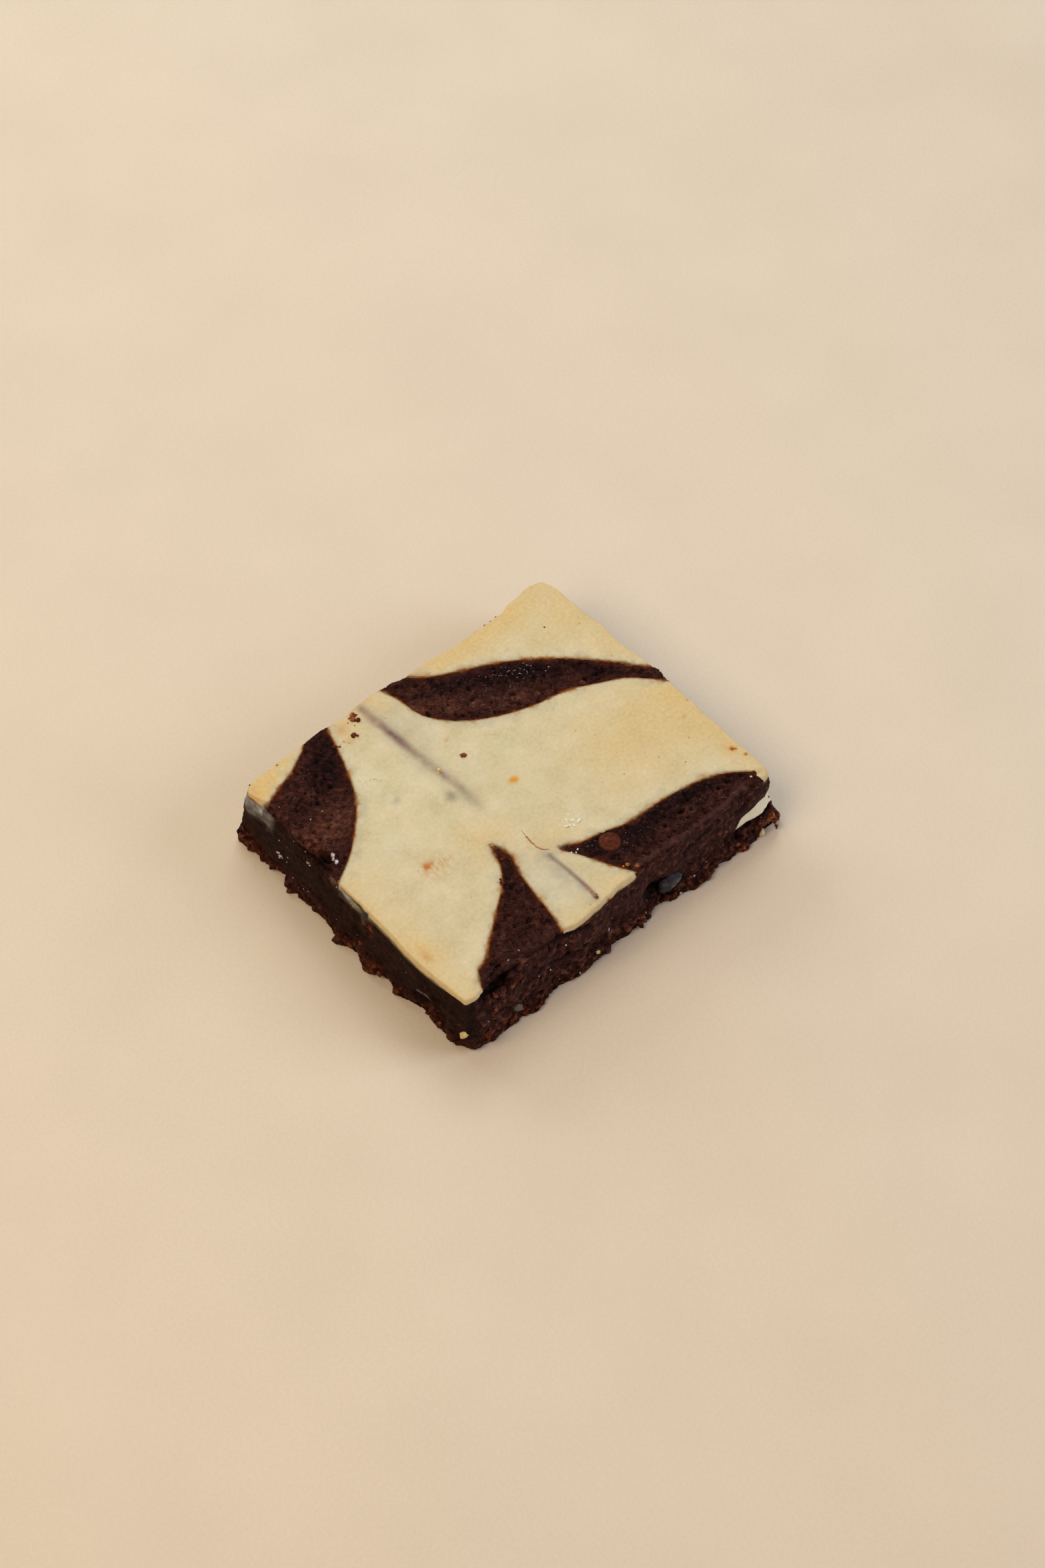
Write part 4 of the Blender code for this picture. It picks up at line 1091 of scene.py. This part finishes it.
crumb_spots = [
    (-12.0, 32.8, 16.8, 1.9, 1.3, 0.62), (-12.8, 31.9, 16.8, 1.6, 1.1, 0.55),
    (-12.0, 31.2, 16.8, 1.3, 1.0, 0.5),
    (-13.1, 32.7, 16.8, 0.6, 0.4), (-14.0, 32.0, 16.8, 0.35, 0.25), (-13.4, 30.6, 16.8, 0.3, 0.2),
    (-15.2, 28.9, 16.8, 1.5, 1.1, 0.55), (-14.6, 28.3, 16.8, 0.6, 0.5), (-2.2, 10.6, 16.8, 1.5, 1.2, 0.58),
    (-2.5, 11.1, 16.8, 0.5, 0.4), (-19.6, 29.3, 16.7, 1.3, 0.7), (-19.0, 28.6, 16.7, 0.7, 0.4),
    (-17.0, -17.3, 16.7, 1.3, 0.9), (-16.7, -16.5, 16.7, 0.6, 0.5), (-13.3, -13.0, 16.7, 1.0, 0.7),
    (4.0, -30.1, 16.6, 1.1, 0.8), (3.2, -29.8, 16.6, 0.6, 0.5), (5.3, -31.6, 16.5, 1.2, 0.9),
    (-5.7, -31.9, 16.8, 0.8, 0.6), (-5.2, -31.4, 16.8, 0.4, 0.3), (-3.8, -33.4, 15.8, 0.6, 0.5),
    (-38.6, 14.2, 16.5, 1.8, 1.2), (-37.2, 11.8, 16.5, 1.2, 0.8), (-38.7, 16.0, 16.3, 1.0, 0.7),
    (38.4, -23.4, 16.8, 0.9, 0.8), (38.9, -23.9, 16.8, 0.5, 0.4), (39.5, -26.2, 16.8, 0.6, 0.5),
    (31.4, 24.1, 16.8, 0.42, 0.3), (38.2, 21.5, 16.8, 0.2, 0.15), (37.3, 20.1, 16.8, 0.22, 0.16),
    (29.3, -19.7, 16.8, 0.25, 0.2), (-31.1, 33.4, 16.6, 0.4, 0.3), (-38.2, 33.2, 16.7, 0.5, 0.3),
    (23.0, 33.5, 16.4, 0.6, 0.4), (26.2, 33.6, 16.3, 0.5, 0.4), (24.6, 33.4, 16.2, 0.4, 0.3),
    (-42.0, -7.2, 1.6, 2.6, 1.9), (-41.8, -9.4, 1.8, 1.6, 1.2), (-41.6, -14.8, 1.8, 1.9, 1.3),
    (-41.2, 32.4, 3.4, 1.9, 1.3), (-41.2, 31.0, 2.4, 1.4, 1.0), (-36.4, -34.6, 4.2, 1.9, 1.2),
    (-31.8, -34.2, 10.1, 1.4, 0.9), (-25.8, -34.4, 1.3, 1.8, 1.1), (-27.4, -34.2, 4.6, 1.3, 0.9),
    (-33.2, -33.6, 12.6, 1.5, 0.9), (-35.2, -33.8, 12.4, 1.2, 0.8), (-29.6, -34.1, 1.6, 1.3, 0.9),
    (38.4, -35.3, 6.4, 1.3, 0.9), (39.6, -35.6, 4.2, 1.0, 0.7), (40.2, -35.8, 1.8, 0.7, 0.5),
    (36.6, -34.2, 5.2, 1.5, 1.0), (35.4, -34.2, 4.2, 1.3, 0.9), (39.6, -34.0, 7.0, 1.3, 0.4),
    (11.6, -34.6, 2.0, 1.8, 1.2), (9.6, -34.4, 2.2, 1.2, 0.8), (4.0, -34.5, 1.0, 1.4, 0.9),
    (-24.2, -34.4, 2.8, 1.2, 0.9), (-26.4, -34.4, 0.9, 1.0, 0.8), (-33.8, -34.2, 9.0, 1.1, 0.8),
    (-18.0, -34.0, 7.2, 0.8, 0.6), (-12.2, -34.0, 9.4, 0.7, 0.6), (-3.0, -34.0, 8.8, 0.6, 0.5),
]
crumb_spots += scattered(34, 1.6, 5.0, 0.5, 2.0)
crumb_spots += scattered(45, 5.0, 14.0, 0.3, 1.1, ((0, -1), (1, 0), (0, 1)))
crumbs = strewn(model_crumb("loose_crumbs", 3, 0.20, 4), crumb_spots, 0.38)
crumbs.data.shade_smooth()
places, _ = skin_places(crumbs)

# Crumbs at the cut edges and by the low line are brighter, and the broken edge's are darker
golden_here = np.where((places[:, 0] > 37.0) | (places[:, 1] > 33.0), 5.0, 1.0)
golden_here += 2.5 * (places[:, 1] < -29.5)
paint(crumbs, "on_top", (places[:, 2] > 15.9) * np.where(places[:, 0] > -36.0, golden_here, -1.6))
crumb_skin, tree, surface = new_material("loose_crumb", 0.6, 0.15)
tone = calc(tree, "MULTIPLY", speckle(tree, 2.0), 0.6)
tone = calc(tree, "MULTIPLY_ADD", speckle(tree, 0.35, 3.0, 0.6), 0.4, tone)
tone = calc(tree, "MULTIPLY_ADD", painted(tree, "on_top"), 0.05, tone)
colour = ramp(tree, tone, (
    (0.36, shade(38, 14, 8)),
    (0.47, shade(74, 32, 17)),
    (0.57, shade(112, 55, 30)),
    (0.70, shade(164, 98, 62)),
    (0.84, shade(206, 138, 62)),
))
join_up(tree, surface, colour, span(tree, tone, 0.3, 0.7, 0.45, 0.75), speckle(tree, 0.25, 3.0), 0.12)
coat(crumbs, crumb_skin)
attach(crumbs, "root")

# Crumbs of the cheesecake itself, pale yellow, that the knife carried onto the brownie.
pale_spots = [
    (-8.3, 11.1, 16.8, 1.2, 0.8), (-8.8, 10.7, 16.8, 0.6, 0.5), (-7.9, 10.4, 16.8, 0.4, 0.3),
    (-40.9, -33.4, 7.0, 1.9, 1.3), (-41.2, -33.2, 6.2, 1.2, 1.0), (-7.6, -34.2, 3.2, 1.1, 0.9),
    (-17.5, 29.0, 16.8, 0.7, 0.4), (-17.0, 28.2, 16.8, 0.5, 0.4),
    (40.2, -8.7, 16.8, 0.5, 0.4), (37.3, -34.8, 1.4, 2.0, 1.4, 0.5), (-28.3, -34.2, 4.9, 2.1, 1.6, 0.5),
    (36.5, -30.8, 16.6, 0.5, 0.4), (20.5, 34.0, 16.3, 0.8, 0.5), (-33.0, 33.4, 16.7, 0.5, 0.3),
]
pale_spots += scattered(9, 2.0, 12.0, 0.3, 0.7, ((1, 0), (0, 1)))
pale = strewn(model_crumb("pale_crumbs", 3, 0.14, 4), pale_spots, 0.35)
pale.data.shade_smooth()
places, _ = skin_places(pale)
paint(pale, "dull", ease(blot(places, (-28.3, -34.0, 4.9), (2.2, 2.2, 2.2)), 0.2, 0.4))
pale_skin, tree, surface = new_material("pale_crumb", 0.5)
colour = ramp(tree, speckle(tree, 0.5, 3.0, 0.6), ((0.35, shade(206, 170, 98)), (0.65, shade(236, 214, 156))))
dull = blend(tree, speckle(tree, 0.5, 3.0, 0.6), shade(52, 44, 38), shade(132, 128, 118))
colour = blend(tree, painted(tree, "dull"), colour, dull)
roughness = span(tree, speckle(tree, 0.3), 0.3, 0.7, 0.4, 0.6)
join_up(tree, surface, colour, roughness, speckle(tree, 0.25, 3.0), 0.08)
coat(pale, pale_skin)
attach(pale, "root")

# Sugar that never dissolved: small glassy grains, white and a little pink, most of them in the left face.
grain_spots = [
    (-40.7, 21.9, 8.5, 1.0, 0.5), (-40.7, 21.3, 8.1, 0.8, 0.5), (-40.7, 21.4, 8.8, 0.7, 0.4),
    (-40.7, 21.0, 8.4, 0.8, 0.4), (-40.7, 20.7, 7.9, 0.5, 0.4), (-40.7, 21.4, 7.4, 0.6, 0.4),
    (-40.3, 13.3, 13.5, 0.9, 0.5), (-40.3, 12.8, 13.8, 0.7, 0.4), (-40.3, 12.4, 13.5, 0.5, 0.4),
    (-40.5, 21.8, 12.2, 0.35, 0.3), (-39.9, 14.4, 15.6, 0.4, 0.25), (-40.6, 18.9, 9.8, 0.4, 0.3),
    (-40.7, 19.4, 7.7, 0.3, 0.3), (-41.0, 17.6, 4.4, 0.35, 0.3), (-41.1, 15.9, 3.1, 0.3, 0.25),
    (-41.0, 14.3, 4.2, 0.35, 0.25), (-40.9, 12.7, 4.9, 0.3, 0.25), (-39.8, 17.9, 15.2, 0.35, 0.25),
    (-36.9, 9.6, 16.7, 1.3, 1.0, 0.55), (-37.4, 8.8, 16.6, 0.9, 0.7), (-37.4, 7.7, 16.7, 1.1, 0.8),
    (-34.5, 18.9, 16.6, 0.4, 0.35), (-31.6, 19.0, 16.6, 0.35, 0.3), (-37.3, 25.4, 16.6, 0.3, 0.25),
    (-27.8, -31.2, 16.5, 0.5, 0.3), (-24.8, -30.9, 16.5, 0.6, 0.3), (-22.5, -34.0, 8.9, 0.5, 0.3),
    (-19.5, -34.0, 8.0, 0.4, 0.35), (-15.4, -33.9, 12.2, 0.45, 0.3), (-3.8, -33.9, 6.2, 0.9, 0.3),
    (-12.8, -34.4, 0.9, 0.6, 0.5), (5.0, -34.2, 2.4, 0.6, 0.3), (5.6, -34.1, 3.2, 0.5, 0.3),
    (18.3, -34.4, 3.9, 0.45, 0.4), (21.8, -34.4, 5.1, 0.3, 0.3), (14.9, -34.5, 1.2, 0.7, 0.4),
    (-36.0, -34.4, 7.4, 0.6, 0.3), (36.9, -34.0, 5.6, 0.4, 0.3), (34.2, -34.0, 6.4, 0.35, 0.3),
    (-40.6, 4.0, 15.4, 0.35, 0.3), (-40.7, -0.9, 14.2, 0.4, 0.2), (-40.7, -0.3, 14.6, 0.35, 0.2),
    (-33.3, -33.6, 13.8, 0.6, 0.5), (-25.4, -34.4, 1.6, 0.6, 0.5),
]
grain_spots += scattered(45, 1.0, 14.5, 0.14, 0.34, ((-1, 0), (0, -1), (0, -1), (0, 1)))
for number in range(28):
    x, y = drawn.normal(19.5, 3.4), drawn.normal(0.0, 0.8)
    length, width = drawn.uniform(0.14, 0.34), drawn.uniform(0.12, 0.24)
    grain_spots.append((x, 19.6 - 0.62 * (x - 19.5) + y, 16.7, length, width))
sugar = strewn(model_crumb("sugar_grains", 2, 0.14, 8), grain_spots, 0.42)
glassy, tree, surface = new_material("sugar", 0.18, 0.8)
colour = ramp(tree, speckle(tree, 0.4, 2.0), ((0.35, shade(150, 122, 118)), (0.65, shade(214, 200, 196))))
join_up(tree, surface, colour, span(tree, speckle(tree, 0.3), 0.3, 0.7, 0.12, 0.4), speckle(tree, 0.2), 0.05)
coat(sugar, glassy)
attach(sugar, "root")

# White flecks: scraps of cream cheese that never blended, flat on the top.
fleck_spots = [
    (1.3, -13.7, 16.8, 0.9, 0.4), (2.2, -14.6, 16.8, 1.2, 0.6), (3.1, -15.3, 16.8, 1.4, 0.7),
    (3.9, -16.2, 16.8, 1.3, 0.8), (1.2, -15.5, 16.8, 1.1, 0.6), (3.5, -13.7, 16.8, 0.7, 0.4),
    (3.9, -11.7, 16.8, 0.6, 0.3), (2.6, -16.4, 16.8, 0.8, 0.5), (1.9, -15.9, 16.8, 0.6, 0.4),
    (-2.2, -20.9, 16.8, 0.7, 0.4), (-1.4, -21.4, 16.8, 0.5, 0.3), (-0.6, -21.0, 16.8, 0.6, 0.3),
    (4.5, -12.9, 16.8, 0.4, 0.2), (0.4, -14.6, 16.8, 0.35, 0.2), (3.3, -18.6, 16.8, 0.5, 0.3),
    (4.6, -17.2, 16.8, 0.4, 0.25), (2.4, -8.4, 16.8, 0.35, 0.2), (-18.4, 28.9, 16.8, 0.6, 0.3),
    (-17.9, 29.6, 16.8, 0.5, 0.3), (17.0, 7.6, 16.8, 0.5, 0.3), (14.8, 8.6, 16.8, 0.4, 0.2),
]
flecks = strewn(model_crumb("white_flecks", 3, 0.16, 4), fleck_spots, 0.46, flat=True)
flecks.data.shade_smooth()
white, tree, surface = new_material("white_fleck", 0.5)
colour = ramp(tree, speckle(tree, 0.4, 2.0), ((0.35, shade(220, 208, 178)), (0.65, shade(242, 235, 214))))
join_up(tree, surface, colour, span(tree, speckle(tree, 0.3), 0.3, 0.7, 0.4, 0.6), speckle(tree, 0.2), 0.04)
coat(flecks, white)
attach(flecks, "root")

# Threads of batter that trailed off the skewer: thin orange-brown ridges, thickest in their middles.
thread_paths = (
    ((-5.8, -10.0), (-6.1, -11.9), (-6.5, -14.4), (-6.1, -16.3), (-5.4, -17.2), (-4.6, -17.6)),
    ((-5.6, -27.4), (-5.5, -29.1), (-5.6, -30.6), (-5.8, -31.8)),
)
threads = []
for points in thread_paths:
    line = bpy.data.curves.new("batter_threads", "CURVE")
    line.dimensions = "3D"
    line.bevel_depth = 0.22 * mm
    line.bevel_resolution = 3
    line.use_fill_caps = True
    spline = line.splines.new("NURBS")
    spline.points.add(len(points) - 1)
    spline.use_endpoint_u = True
    spline.order_u = 4
    spline.resolution_u = 10
    for number, (x, y) in enumerate(points):
        place, _ = landed((x, y, 16.8))
        spline.points[number].co = (*(place - Vector((0.0, 0.0, 0.11 * mm))), 1.0)
        spline.points[number].radius = 0.30 + 0.70 * math.sin(math.pi * (number + 0.4) / len(points))
    threads.append(bpy.data.objects.new("batter_threads", line))
    bpy.context.scene.collection.objects.link(threads[-1])
bpy.ops.object.select_all(action="DESELECT")
for thread in threads:
    thread.select_set(True)
bpy.context.view_layer.objects.active = threads[0]
bpy.ops.object.convert(target="MESH")
bpy.ops.object.join()
threads = bpy.context.active_object
bpy.ops.object.mode_set(mode="EDIT")
bpy.ops.mesh.select_all(action="SELECT")
bpy.ops.mesh.remove_doubles(threshold=0.001 * mm)
bpy.ops.object.mode_set(mode="OBJECT")
threads.name = threads.data.name = "batter_threads"
places, normals = skin_places(threads)
move_skin(threads, places + normals * (0.10 * grain(places, 0.5, 2))[:, None])
threads.data.shade_smooth()
batter, tree, surface = new_material("batter_thread", 0.5)
colour = ramp(tree, speckle(tree, 0.6, 3.0), ((0.35, shade(150, 88, 46)), (0.65, shade(192, 136, 86))))
join_up(tree, surface, colour, span(tree, speckle(tree, 0.3), 0.3, 0.7, 0.4, 0.6), speckle(tree, 0.25), 0.05)
coat(threads, batter)
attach(threads, "root")

# The table is a sheet of pale matte paper under soft light from behind and above.
bpy.ops.object.select_all(action="DESELECT")
bpy.ops.mesh.primitive_plane_add(size=3.0, location=(0, 0, 0))
table = bpy.context.active_object
table.name = "table"
paper, tree, surface = new_material("paper", 0.9)
pulp = calc(tree, "MULTIPLY", speckle(tree, 0.7, 4.0, 0.7), 0.6)
pulp = calc(tree, "MULTIPLY_ADD", speckle(tree, 30.0, 2.0), 0.4, pulp)
colour = ramp(tree, pulp, ((0.35, shade(221, 200, 173)), (0.65, shade(229, 208, 181))))
join_up(tree, surface, colour, span(tree, pulp, 0.3, 0.7, 0.86, 0.94), speckle(tree, 0.6, 4.0, 0.7), 0.03)
table.data.materials.append(paper)

sky = bpy.data.worlds.new("sky")
bpy.context.scene.world = sky
sky.use_nodes = True
sky.node_tree.nodes["Background"].inputs["Color"].default_value = (1.0, 1.0, 1.0, 1.0)
sky.node_tree.nodes["Background"].inputs["Strength"].default_value = 0.12
for name, place, watts, colour in (
    ("back_window", (0.0, 0.751, 0.399), 2.67, (0.87, 0.94, 1.0)),
    ("right_window", (0.531, -0.531, 0.399), 3.46, (0.70, 0.79, 1.0)),
    ("high_window", (0.345, 0.345, 0.696), 2.23, (0.88, 0.96, 1.0)),
    ("warm_wall", (-0.488, 0.0, 0.696), 3.59, (1.0, 0.84, 0.64)),
):
    bpy.ops.object.light_add(type="AREA", location=place)
    lamp = bpy.context.active_object
    lamp.name = name
    lamp.data.size = 0.45
    lamp.data.energy = watts
    lamp.data.color = colour
    lamp.rotation_euler = lamp.location.to_track_quat("Z", "Y").to_euler()
bpy.context.scene.view_settings.view_transform = "Standard"
